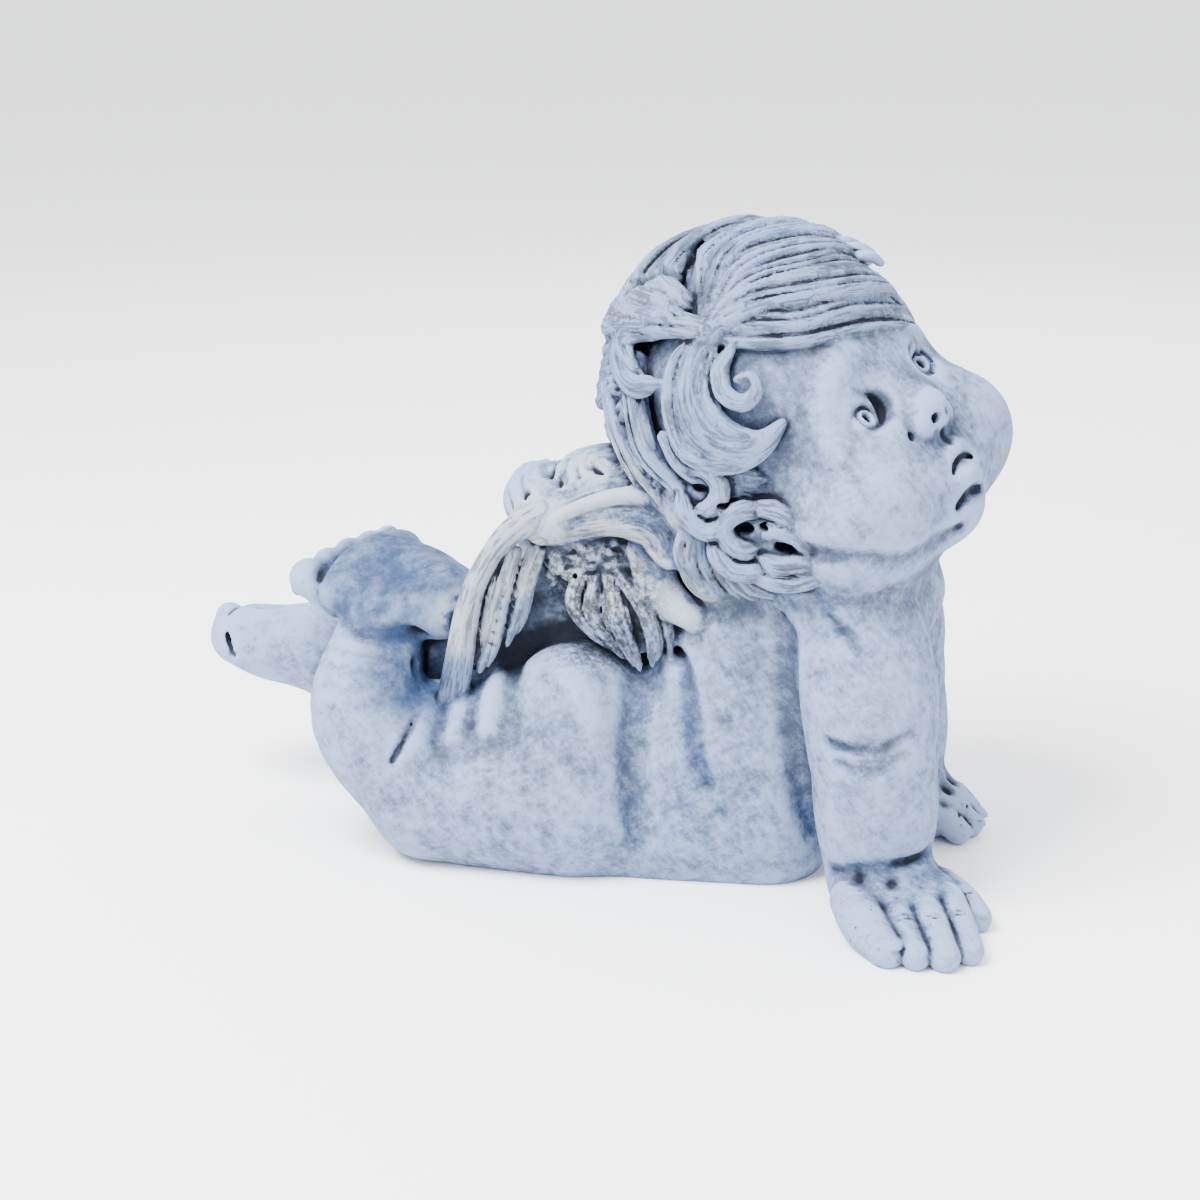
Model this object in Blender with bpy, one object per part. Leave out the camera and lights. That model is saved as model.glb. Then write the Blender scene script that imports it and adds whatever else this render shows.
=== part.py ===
"""Garden statue of a putto lying on its belly, propped on straight arms, cast in one piece.

Run with: blender --background --python part.py
The figure faces +X, its right side is towards -Y and it lies on the plane z = 0.
It is pressed together from simple forms, as a clay model is, in a block of distances
to the surface, and that block is then skinned, thinned and cut flat below.
All of the figure's places and sizes are shares of its length.
"""
import bmesh
import bpy
import numpy as np
import openvdb
from mathutils import Matrix, Vector

LENGTH = 0.36             # over all, from the toes of the left foot to the right thumb, in metres
SHARES = 103.35           # the same length in shares
UNIT = LENGTH / SHARES    # one share of the figure, in metres
GRAIN = 0.62              # side of one cell of the clay block, in shares
TRIANGLES = 9500          # the skin is thinned to about this many
SLICE = 0.25              # what is cut off below to make the flat underside, in shares

STONE_COLOUR = (0.50, 0.54, 0.60, 1.0)
STONE_ROUGHNESS = 0.8

BLOCK_LOW = (-58.0, -36.0, -2.5)
BLOCK_HIGH = (56.0, 26.0, 86.0)
EMPTY = 9.0               # distance held by a cell that no form has come near
REACH = 3.0               # how far past a form its distances are worked out

HEAD_CENTRE = np.array((22.9, 0.0, 57.0))
HEAD_TURN = 28.0          # to the figure's right, in degrees
HEAD_TIP = 38.0           # the face tipped back from level
HEAD_LEAN = 8.0           # crown leaning over to the right shoulder
FACE_TURN = 38.0          # the face sits a little askew under the hair, as it does in the cast
FACE_TIP = 50.0
FACE_LEAN = 15.0
FACE_SHIFT = np.array((-3.6, -0.5, -2.0))


def soft_union(first, second, blend):
    near = np.maximum(blend - np.abs(first - second), 0) / blend
    return np.minimum(first, second) - near * near * blend / 4


class Clay:
    """A block of cells that holds the distance to the surface, less than 0 inside."""

    def __init__(self, low, high, grain):
        self.grain = grain
        self.low = np.array(low, float)
        count = np.ceil((np.array(high) - self.low) / grain).astype(int) + 1
        self.axes = [self.low[i] + grain * np.arange(count[i], dtype=np.float32) for i in range(3)]
        self.cells = np.full(count, EMPTY, np.float32)

    def span(self, low, high):
        """The slices of the block between two corners, and the cells' places there."""
        cut = []
        for i in range(3):
            start = int(np.clip((low[i] - self.low[i]) // self.grain, 0, self.cells.shape[i] - 1))
            stop = int(np.clip((high[i] - self.low[i]) // self.grain + 2, start + 1, self.cells.shape[i]))
            cut.append(slice(start, stop))
        x, y, z = (self.axes[i][cut[i]] for i in range(3))
        return tuple(cut), x[:, None, None], y[None, :, None], z[None, None, :]

    def press(self, cut, distance, blend, carve=False):
        if carve:
            self.cells[cut] = -soft_union(-self.cells[cut], distance, blend)
        else:
            self.cells[cut] = soft_union(self.cells[cut], distance, blend)

    def ball(self, centre, radii, turn=None, blend=2.0, carve=False):
        """An egg of three radii; turn is a matrix whose columns are its axes."""
        centre = np.array(centre, float)
        radii = np.array(radii, float)
        reach = radii.max() + blend + REACH
        cut, x, y, z = self.span(centre - reach, centre + reach)
        x, y, z = x - centre[0], y - centre[1], z - centre[2]
        if turn is not None:
            x, y, z = (x * a[0] + y * a[1] + z * a[2] for a in np.array(turn).T)
        near = np.sqrt((x / radii[0]) ** 2 + (y / radii[1]) ** 2 + (z / radii[2]) ** 2)
        steep = np.sqrt((x / radii[0] ** 2) ** 2 + (y / radii[1] ** 2) ** 2 + (z / radii[2] ** 2) ** 2)
        self.press(cut, near * (near - 1) / np.maximum(steep, 1e-6), blend, carve)

    def limb(self, points, radii, blend=2.0, carve=False, steps=6):
        """A round roll of changing thickness along a smooth line through the points."""
        line = smooth_line(np.column_stack([points, radii]), steps)
        reach = line[:, 3].max() + blend + REACH
        cut, x, y, z = self.span(line[:, :3].min(0) - reach, line[:, :3].max(0) + reach)
        found = np.full(self.cells[cut].shape, EMPTY, np.float32)
        for a, b in zip(line[:-1], line[1:]):
            along = (b - a)[:3]
            share = ((x - a[0]) * along[0] + (y - a[1]) * along[1] + (z - a[2]) * along[2]) / max(along @ along, 1e-9)
            share = np.clip(share, 0, 1)
            gap = np.sqrt((x - a[0] - share * along[0]) ** 2 + (y - a[1] - share * along[1]) ** 2
                          + (z - a[2] - share * along[2]) ** 2)
            np.minimum(found, gap - a[3] - share * (b[3] - a[3]), out=found)
        self.press(cut, found, blend, carve)

    def lock(self, points, widths, thickness, outward, blend=0.8, strands=0.0, pitch=1.6, steps=6):
        """A flat, grooved roll: a lock of hair or a feather. outward gives the way its flat side faces."""
        line = smooth_line(np.column_stack([points, widths]), steps)
        reach = line[:, 3].max() + blend + REACH
        cut, x, y, z = self.span(line[:, :3].min(0) - reach, line[:, :3].max(0) + reach)
        found = np.full(self.cells[cut].shape, EMPTY, np.float32)
        for a, b in zip(line[:-1], line[1:]):
            along = (b - a)[:3]
            length = max(along @ along, 1e-9)
            way = along / np.sqrt(length)
            face = outward((a + b)[:3] / 2)
            side = np.cross(way, face)
            side /= np.linalg.norm(side)
            face = np.cross(side, way)
            low, high = np.minimum(a, b)[:3] - reach, np.maximum(a, b)[:3] + reach
            part = self.span(low, high)[0]
            place = tuple(slice(p.start - c.start, p.stop - c.start) for p, c in zip(part, cut))
            px, py, pz = x[place[0]], y[:, place[1]], z[:, :, place[2]]
            share = np.clip(((px - a[0]) * along[0] + (py - a[1]) * along[1] + (pz - a[2]) * along[2]) / length, 0, 1)
            qx, qy, qz = px - a[0] - share * along[0], py - a[1] - share * along[1], pz - a[2] - share * along[2]
            across = qx * side[0] + qy * side[1] + qz * side[2]
            above = qx * face[0] + qy * face[1] + qz * face[2]
            beyond = qx * way[0] + qy * way[1] + qz * way[2]
            wide = np.maximum(a[3] + share * (b[3] - a[3]), 0.15)
            thick = np.minimum(wide, thickness)
            near = np.sqrt((across / wide) ** 2 + (above / thick) ** 2 + (beyond / thick) ** 2)
            steep = np.sqrt((across / wide ** 2) ** 2 + (above / thick ** 2) ** 2 + (beyond / thick ** 2) ** 2)
            distance = near * (near - 1) / np.maximum(steep, 1e-6)
            if strands:
                distance = distance + strands * (0.5 - 0.5 * np.cos(2 * np.pi * across / pitch)) ** 2
            found[place] = np.minimum(found[place], distance)
        self.press(cut, found, blend)


def smooth_line(points, steps):
    """Points of a Catmull-Rom curve through the given ones, each with its radius as a last column."""
    points = np.array(points, float)
    ends = np.vstack([2 * points[0] - points[1], points, 2 * points[-1] - points[-2]])
    line = []
    for a, b, c, d in zip(ends[:-3], ends[1:-2], ends[2:-1], ends[3:]):
        for t in np.arange(steps) / steps:
            line.append(0.5 * (2 * b + (c - a) * t + (2 * a - 5 * b + 4 * c - d) * t ** 2
                               + (3 * b - a - 3 * c + d) * t ** 3))
    line.append(points[-1])
    return np.array(line)


def turned(turn, tip, lean):
    """Axes of a part that looks along +X: turned to its right, tipped back, then leaning to its right."""
    matrix = (Matrix.Rotation(np.radians(-turn), 3, "Z") @ Matrix.Rotation(np.radians(-tip), 3, "Y")
              @ Matrix.Rotation(np.radians(lean), 3, "X"))
    return np.array(matrix)


HEAD_AXES = turned(HEAD_TURN, HEAD_TIP, HEAD_LEAN)
FACE_AXES = turned(FACE_TURN, FACE_TIP, FACE_LEAN)


def on_head(face, left, crown):
    """The place of a point given from the head's middle: towards the face, the left ear and the crown."""
    return HEAD_CENTRE + HEAD_AXES @ np.array((face, left, crown), float)


def head_line(points):
    return [on_head(*point) for point in points]


def on_face(face, left, crown):
    """The same, given along the axes of the face."""
    return HEAD_CENTRE + FACE_AXES @ (np.array((face, left, crown), float) + FACE_SHIFT)


def face_line(points):
    return [on_face(*point) for point in points]


def from_head(place):
    """The way out of the skull at a place."""
    out = place - HEAD_CENTRE
    return out / np.linalg.norm(out)


def torso(clay):
    """Hips, belly, chest and shoulders, with the roll of fat at the waist."""
    for side in (-1, 1):
        clay.limb([(-13, side * 5.0, 6.5), (4, side * 5.0, 5.5), (21, side * 4.6, 5.5)], [9.0, 9.4, 9.2],
                  blend=3)
    clay.ball((-5, 0, 11), (16, 13.0, 13.0), blend=3)
    clay.ball((9, 0, 13), (13, 13.0, 13.0), blend=3)
    clay.ball((21, 0, 16), (13, 13.2, 16), blend=4)
    clay.ball((29, 0, 25), (12, 12.5, 13.5), blend=5)
    clay.ball((19, 0, 27), (13, 12.0, 9.5), blend=4)
    for side in (-1, 1):
        clay.ball((-1.5, side * 6.2, 17.5), (9.5, 8.2, 10.5), blend=2.0)
        clay.limb([(32, side * 10.5, 33), (27, side * 8, 34), (20, side * 5, 32)], [6.5, 7, 6], blend=4)
    clay.limb([(20, 0, 34), (24, 0, 40), (26, 0, 46)], [10, 10, 11], blend=4)
    clay.ball((33.5, 0, 35), (8.6, 9.5, 7), blend=3)


def arm(clay, side, wrist):
    """A straight, thick arm from the shoulder down to the wrist."""
    wrist = np.array(wrist, float)
    elbow = np.array((35.0, side * 14.0, wrist[2] + 12.5))
    clay.limb([(32, side * 10.5, 33.5), (33.8, side * 13, 27), elbow + (-0.4, 0, 3)], [7.5, 8.2, 7.6],
              blend=4)
    clay.limb([elbow, (elbow + wrist) / 2 + (0.2, 0, 0), wrist], [7.4, 7.2, 5.9], blend=1.2)


NEAR_FINGERS = (
    (((1.5, -5.4, 0.4), (6.8, -4.4, -0.3), (11.0, -2.4, -1.3)), (2.7, 2.7, 2.05)),
    (((2.6, -1.4, 0.9), (7.2, -0.5, 0.1), (12.0, 0.7, -1.4)), (2.0, 1.95, 1.65)),
    (((2.8, 2.2, 1.0), (7.4, 2.9, 0.2), (12.2, 3.9, -1.4)), (2.15, 2.1, 1.8)),
    (((2.0, 5.5, 0.8), (6.0, 6.0, 0.2), (10.6, 6.9, -1.4)), (2.0, 1.95, 1.7)),
)
NEAR_THUMB = (((-3.2, 5.4, -0.2), (-0.6, 7.6, -0.8), (2.2, 8.9, -1.4)), (2.5, 2.2, 1.85))
FAR_FINGERS = (
    (((2.5, 4.4, 0.4), (4.4, 4.4, 0.0), (6.1, 4.4, -1.4)), (1.8, 1.8, 1.6)),
    (((2.5, 1.5, 0.6), (4.9, 1.5, 0.1), (7.1, 1.5, -1.4)), (1.9, 1.9, 1.7)),
    (((2.5, -1.4, 0.6), (4.8, -1.4, 0.1), (6.9, -1.4, -1.4)), (1.9, 1.9, 1.7)),
    (((2.5, -4.3, 0.4), (4.2, -4.3, 0.0), (5.7, -4.3, -1.4)), (1.8, 1.8, 1.6)),
)
FAR_THUMB = (((-3.0, 5.2, -0.6), (-1.4, 7.8, -1.2), (1.2, 9.2, -1.4)), (2.5, 2.2, 1.8))


def hand(clay, palm, reach, across, fingers, thumb):
    """A fat hand flat on the ground: reach is the way of the fingers and across the way to the thumb."""
    palm, reach, across = np.array(palm, float), np.array(reach, float), np.array(across, float)
    up = np.array((0.0, 0.0, 1.0))
    axes = np.column_stack([reach, across, up])
    clay.ball(palm - reach * 0.6, (7.6, 7.4, 4.1), axes, blend=2.5)
    for places, widths in fingers + (thumb,):
        line = [palm + reach * forward + across * aside + up * lift for forward, aside, lift in places]
        clay.limb(line, widths, blend=0.5)


THIGH_ROLLS = (
    ((-19.4, -5.5, 20.4), (-19.6, -9.5, 19.2), (-20.2, -12.2, 16.2)),
    ((-15.5, -5.0, 21.6), (-15.6, -9.5, 20.2), (-15.8, -12.2, 17.0)),
    ((-11.6, -4.5, 22.8), (-11.6, -9.5, 21.6), (-11.6, -12.4, 18.6)),
)


def leg(clay, side, knee, calf, ankle):
    """A thigh lying on the ground and the shin bent up behind the knee."""
    clay.limb([(-3, side * 7.5, 9), (-12, side * 8.3, 8.5), knee], [10.5, 9.2, 7.8], blend=3)
    clay.limb([knee, calf, ankle], [7.5, 7.3, 5.4], blend=1.6)


def foot(clay, middle, toes_way, sole_way, big_toe, size=1.0, spread=1.0):
    """A fat foot: toes_way runs from heel to toes and sole_way out of the sole."""
    middle = np.array(middle, float)
    along = np.array(toes_way, float) / np.linalg.norm(toes_way)
    out = np.array(sole_way, float)
    out -= along * (out @ along)
    out /= np.linalg.norm(out)
    wide = np.cross(out, along) * big_toe
    axes = np.column_stack([along, wide, out])

    def at(forward, across, up):
        return middle + (along * forward + wide * across + out * up) * size

    clay.ball(at(0, 0, -0.3), np.array((9.6, 5.4 * spread, 3.7)) * size, axes, blend=2)
    clay.ball(at(-6.6, 0, -0.5), np.array((4.5, 4.6, 4.1)) * size, axes, blend=2)
    clay.ball(at(4.2, 0, 0.1), np.array((3.6, 6.3 * spread, 3.3)) * size, axes, blend=1.6)
    toes = ((4.2, 8.9, 2.3), (1.4, 9.0, 1.9), (-1.0, 8.5, 1.8), (-3.2, 7.7, 1.65), (-5.0, 6.8, 1.5))
    for slip, length, thick in np.array(toes) * (spread, 1.0, 1.0):
        clay.limb([at(length - 3.2, slip * 0.95, -1.8), at(length, slip, 0.0)],
                  np.array([0.9, 1.0]) * thick * size,
                  blend=0.9)


FOLDS = (
    (((6.2, -5.0, 27.0), (6.5, -9.0, 26.0), (6.2, -12.0, 18.8), (6.5, -13.8, 12.2), (7.0, -14.6, 6.4)),
     0.95, 2.6, 0.28),
    (((10.6, -6.5, 28.8), (11.9, -10.2, 26.6), (13.0, -11.6, 19.9), (14.9, -12.9, 13.4)), 0.6, 2.2, 0.12),
    (((23.8, -14.2, 36.5), (24.3, -15.1, 33.0), (24.8, -14.3, 25.1), (26.6, -12.4, 13.4), (28.2, -11.4, 7.5)),
     1.0, 2.4, 0.45),
    (((26.4, -14.9, 39.0), (29.5, -17.4, 37.0), (33.1, -19.4, 33.6)), 0.35, 1.6, 0.12),
    (((30.0, -20.2, 22.6), (34.8, -21.8, 22.2), (39.4, -20.0, 24.2)), 0.45, 1.5, 0.22),
    (((30.6, -20.6, 20.4), (34.9, -21.8, 19.8), (38.9, -20.5, 21.6)), 0.4, 1.3, 0.2),
    (((30.6, -18.6, 6.0), (33.4, -20.8, 7.0), (37.0, -21.4, 8.0), (42.3, -16.8, 8.4)), 0.3, 1.6, 0.0),
)


def folds(clay):
    """The rolls of fat on the thighs, and the folds of the waist, armpits, elbows and neck."""
    for side in (-1, 1):
        for roll in THIGH_ROLLS:
            clay.limb([(x, -side * y, z) for x, y, z in roll], [1.5, 1.8, 1.1], blend=2.0)
        for points, thick, blend, sharp in FOLDS:
            ends = [thick * 0.5] + [thick + sharp * 0.3] * (len(points) - 2) + [thick * 0.4]
            clay.limb([(x, -side * y, z) for x, y, z in points], ends, blend=blend, carve=True)
        clay.limb([(-2.6, side * 10.0, 25.9), (-0.2, side * 11.6, 23.6), (1.2, side * 12.6, 20.0),
                   (1.2, side * 13.2, 15.6)], [1.2, 1.5, 1.4, 0.8], blend=1.8)


EYES = ((-1, 7.9, -7.5, -0.2), (1, 6.1, -6.1, 0.9))


def face(clay):
    """A plain baby's face: round cheeks, open eyes, a button nose and parted lips."""
    clay.ball(on_face(6.5, 0, -7.5), (11.6, 13.4, 13.0), FACE_AXES, blend=5)
    clay.ball(on_face(3.5, 0, -16.8), (10.4, 10.2, 6.0), FACE_AXES, blend=3.5)
    clay.ball(on_face(0.5, -6.5, -12.8), (10.5, 10.0, 9.6), FACE_AXES, blend=4)
    clay.ball(on_face(11.6, -0.6, -17.0), (4.0, 5.4, 4.2), FACE_AXES, blend=3)
    clay.ball(on_face(9.8, -0.8, -21.2), (3.3, 4.0, 2.6), FACE_AXES, blend=3)
    clay.ball(on_face(7.8, -8.9, -14.2), (7.9, 7.8, 7.4), FACE_AXES, blend=4.5)
    clay.ball(on_face(10.0, 9.4, -13.2), (7.9, 7.6, 7.6), FACE_AXES, blend=4.5)
    for side, aside, level, bulge in EYES:
        clay.limb(face_line([(18.0, side * 5.0, -0.4), (16.6, side * 8.6, -1.8), (14.0, side * 11.0, -4.8),
                             (12.8, side * 12.2, -8.2)]), [0.9, 1.2, 1.1, 0.6], blend=2.6)
        clay.ball(on_face(17.2 + bulge, side * (aside - 1.4), level + 0.2), (2.8, 2.7, 2.5), FACE_AXES,
                  blend=1.6,
                  carve=True)
        clay.ball(on_face(14.1 + bulge, side * (aside + 0.1), level), (2.7, 3.1, 2.7), FACE_AXES, blend=0.5)
    clay.limb(face_line([(13.8, 0, -2.8), (15.6, -0.3, -7.2), (17.6, -1.1, -11.0)]), [1.5, 1.7, 2.7],
              blend=1.8)
    for aside in (-3.5, 1.3):
        clay.ball(on_face(16.8, aside, -12.0), (1.9, 1.5, 1.6), FACE_AXES, blend=0.9)
    clay.limb(face_line([(13.4, -4.6, -18.0), (15.0, -2.8, -16.6), (16.0, -0.8, -16.1), (15.4, 1.6, -16.3),
                         (13.6, 3.6, -17.8)]), [0.5, 0.9, 1.15, 0.9, 0.5], blend=0.6)
    clay.limb(face_line([(13.9, -2.8, -19.4), (15.0, -0.7, -19.2), (14.2, 1.6, -19.4)]), [0.9, 1.3, 0.9],
              blend=0.6)
    clay.limb([(24.5, -17.5, 44.6), (29.2, -20.9, 44.7), (33.7, -21.3, 44.5), (38.1, -18.9, 43.8),
               (41.7, -14.9, 45.0),
               (43.6, -12.6, 46.2)], [0.5, 0.8, 0.9, 0.9, 0.8, 0.5], blend=2.2, carve=True)


HUB = (6.0, -14.2, 11.4)
TOP_LOCKS = (
    ((HUB, (8.9, -13.7, 8.9), (13.2, -10.8, 5.4), (16.2, -4.0, 3.0), (16.6, 2.4, 0.8), (15.0, 8.0, -0.6)),
     1.6),
    ((HUB, (10.4, -12.2, 9.5), (13.8, -9.4, 7.0), (16.2, -4.6, 5.4), (16.6, 1.4, 3.6), (15.2, 8.0, 2.0)),
     2.0),
    ((HUB, (10.7, -10.7, 11.2), (14.4, -6.4, 8.8), (16.6, -1.6, 6.8), (16.0, 4.0, 5.4), (13.6, 9.4, 4.0)),
     2.4),
    ((HUB, (10.6, -9.0, 12.8), (14.6, -3.2, 10.8), (15.6, 1.4, 9.2), (13.4, 8.4, 7.0)), 2.3),
    ((HUB, (9.3, -7.4, 15.0), (12.6, -1.3, 13.9), (14.2, 3.6, 11.6), (12.6, 9.6, 8.8)), 2.4),
    ((HUB, (7.4, -5.9, 17.2), (10.0, 1.0, 17.0), (12.6, 6.0, 14.0), (11.0, 11.4, 10.6)), 2.4),
    ((HUB, (5.0, -5.6, 18.6), (7.2, 1.6, 19.2), (10.2, 6.6, 16.6), (8.6, 12.6, 12.0)), 2.3),
)
CROWN_ROLLS = (
    (((3.6, -12.4, 15.2), (0.8, -8.4, 18.8), (1.4, -0.6, 20.6), (4.6, 5.0, 19.4), (6.0, 11.0, 15.0)), 2.7),
    (((2.6, -13.4, 14.6), (-2.6, -9.0, 18.8), (-2.6, -1.0, 21.2), (0.8, 6.0, 20.2), (2.0, 12.0, 16.4)), 2.6),
    (((0.4, -13.0, 15.6), (-6.4, -8.8, 18.6), (-8.2, -1.0, 19.8), (-5.0, 7.0, 18.8), (-3.0, 12.4, 15.0)),
     3.0),
    (((-5.6, -12.6, 16.2), (-10.6, -8.0, 17.2), (-12.8, 0.0, 16.8), (-9.6, 8.0, 16.4)), 3.0),
    (((-7.6, -14.4, 13.4), (-13.6, -9.2, 14.2), (-16.2, -1.0, 13.0), (-14.0, 8.0, 12.0)), 3.0),
    (((-7.0, -16.0, 10.4), (-14.2, -11.0, 10.0), (-18.0, -2.0, 8.6), (-16.8, 8.0, 7.0)), 3.0),
    (((-7.4, -17.0, 6.6), (-14.6, -12.0, 5.2), (-18.8, -3.0, 4.2), (-17.6, 7.0, 2.4)), 3.0),
    (((-7.4, -17.6, 2.6), (-14.2, -12.8, 0.4), (-18.6, -4.0, -0.6), (-17.4, 6.0, -2.4)), 3.0),
    (((-7.0, -17.4, -1.4), (-13.0, -13.0, -4.2), (-17.4, -5.0, -5.4), (-16.4, 5.0, -7.0)), 2.8),
    (((-4.6, -14.0, 14.0), (-6.0, -16.8, 9.6), (-7.2, -18.2, 4.6), (-6.4, -18.2, -0.6)), 1.7),
    (((-9.6, -13.6, 13.4), (-10.6, -15.8, 8.6), (-11.0, -16.4, 3.0), (-10.2, -15.8, -3.0)), 1.9),
)
FAR_LOCKS = (
    (((9.6, 13.6, 8.4), (9.2, 16.0, 3.0), (8.2, 16.4, -2.6), (9.6, 14.8, -6.6)), 2.3),
    (((7.4, 14.6, 10.6), (5.0, 17.6, 4.4), (3.6, 18.0, -1.8), (5.6, 16.6, -6.6)), 2.6),
    (((4.6, 14.8, 12.8), (0.8, 18.2, 5.8), (-1.0, 18.6, -1.2), (0.8, 17.0, -8.0)), 2.8),
    (((-0.6, 14.0, 15.2), (-4.2, 17.8, 6.4), (-6.0, 17.8, -0.6), (-5.0, 15.6, -8.6)), 2.8),
    (((-5.6, 13.0, 14.8), (-9.4, 16.0, 6.4), (-11.0, 15.6, -0.6), (-10.4, 12.8, -9.0)), 2.8),
    (((-12.0, 10.6, 11.0), (-14.0, 12.2, 3.4), (-14.8, 11.4, -3.6), (-13.4, 8.8, -11.4)), 2.8),
    (((-15.6, 7.4, 5.0), (-16.6, 7.0, -1.0), (-16.0, 5.6, -7.6), (-14.2, 4.4, -13.0)), 2.6),
)
CRESCENT = (
    ((5.5, -14.5, 11.3), (2.6, -16.2, 10.8), (0.0, -18.0, 7.5), (-1.2, -19.0, 2.4), (0.2, -18.9, -0.4),
     (2.6, -18.1, -2.4),
     (5.2, -17.2, -2.8), (8.0, -15.7, -1.9)),
    ((6.1, -14.7, 10.7), (4.8, -15.8, 9.6), (3.1, -17.4, 7.1), (2.0, -18.4, 4.0), (2.6, -18.6, 1.0),
     (4.3, -17.9, -1.3),
     (6.2, -17.0, -2.0), (8.2, -15.6, -1.6)),
)
CURL = ((8.0, -14.4, 8.7), (6.2, -16.6, 7.1), (5.6, -17.8, 4.7), (6.7, -17.6, 2.6), (8.3, -16.6, 2.8),
        (8.7, -16.3, 4.4), (7.6, -16.9, 5.0))
RIBBON = ((5.9, -14.9, 12.2), (2.6, -14.6, 14.8), (-2.0, -13.0, 17.3), (-5.2, -13.0, 17.0),
          (-5.4, -15.4, 14.2),
          (-3.8, -17.6, 11.4), (-1.0, -18.2, 10.1))
NAPE_CURLS = (
    ((12.6, -15.8, 53.0), (15.2, -16.6, 53.1), (16.7, -16.9, 51.2), (15.9, -16.9, 48.9), (13.4, -16.5, 48.0)),
    ((11.9, -15.4, 50.4), (12.9, -16.4, 47.6), (15.2, -16.9, 46.0), (17.3, -16.9, 46.9), (18.4, -16.3, 48.6)),
    ((21.9, -16.4, 48.2), (19.5, -17.2, 48.7), (17.6, -17.2, 47.3), (17.7, -17.0, 45.1), (19.6, -17.0, 43.9),
     (21.6, -16.6, 44.5)),
    ((15.9, -15.8, 45.4), (16.6, -17.0, 43.2), (18.4, -17.5, 41.7), (20.8, -17.3, 41.6), (22.8, -16.6, 42.9)),
    ((19.8, -16.4, 48.8), (22.6, -17.6, 49.0), (25.2, -17.9, 48.0), (27.2, -17.5, 46.2), (27.4, -16.8, 44.6)),
    ((21.6, -16.8, 45.6), (23.2, -17.7, 46.7), (25.4, -17.9, 46.2), (27.0, -17.5, 44.9), (28.6, -16.9, 44.4)),
    ((20.6, -16.6, 43.4), (23.4, -17.8, 42.7), (25.9, -18.0, 43.0), (28.3, -17.4, 43.2), (30.0, -16.6, 42.6)),
    ((19.4, -16.2, 41.9), (22.3, -17.6, 40.9), (25.0, -18.0, 40.7), (27.6, -17.8, 41.5), (29.6, -16.8, 42.5)),
)
FAN = (
    ((12.5, -13.8, 44.9), (12.0, -13.6, 42.0), (13.5, -12.8, 38.0)),
    ((13.6, -14.2, 44.6), (13.4, -14.0, 41.6), (14.9, -13.2, 37.8)),
    ((14.7, -14.6, 44.3), (15.0, -14.4, 41.4), (16.7, -13.6, 37.7)),
    ((15.9, -14.8, 44.1), (16.7, -14.6, 41.0), (18.6, -14.0, 37.6)),
    ((17.2, -15.0, 41.8), (18.6, -14.8, 39.5), (20.8, -14.6, 37.6)),
    ((18.8, -15.2, 40.7), (20.7, -15.2, 39.1), (23.2, -15.0, 38.2)),
)
BRIDGE = (
    ((9.9, -14.6, 56.2), (11.8, -15.2, 53.2), (14.8, -15.6, 51.4), (18.8, -15.8, 50.4), (23.0, -15.6, 49.2)),
    ((10.9, -14.8, 56.4), (13.0, -15.5, 53.8), (16.0, -15.8, 52.3), (19.8, -16.0, 51.4), (24.0, -15.6, 50.4)),
    ((11.6, -14.9, 57.4), (14.0, -15.8, 55.0), (17.0, -16.2, 53.4), (20.4, -16.2, 52.4), (23.6, -15.8, 51.8)),
)
HANGING = (
    (((-10.0, -15.4, -3.0), (-11.8, -13.0, -6.6), (-12.8, -10.0, -10.0)), 1.7),
    (((-13.6, -12.0, -4.0), (-15.6, -7.0, -10.0), (-16.0, -4.0, -15.0)), 2.3),
    (((-15.0, -9.0, -6.0), (-15.0, -5.6, -13.0), (-14.2, -4.0, -19.0)), 2.2),
    (((-16.0, -4.0, -4.0), (-16.6, 1.0, -9.0), (-15.6, 4.0, -14.0)), 2.5),
    (((-15.0, 1.0, -9.0), (-14.6, 4.6, -14.0), (-12.6, 7.0, -18.0)), 2.3),
    (((-8.0, 14.6, -5.0), (-8.6, 12.6, -11.0), (-9.4, 11.0, -16.0)), 2.3),
    (((-2.0, 16.4, -5.0), (-3.4, 13.6, -11.0), (-5.4, 11.4, -16.0)), 2.3),
)


def tress(clay, points, wide, thick, sink=0.0):
    """A lock laid over the skull, narrower at its ends and pushed in by sink."""
    points = [point - from_head(point) * sink for point in head_line(points)]
    clay.lock(points, [wide * 0.75] + [wide] * (len(points) - 2) + [wide * 0.5], thick, from_head, blend=0.6)


def out_right(place):
    """The way out of the figure's right side."""
    return np.array((0.1, -0.98, 0.15))


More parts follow.
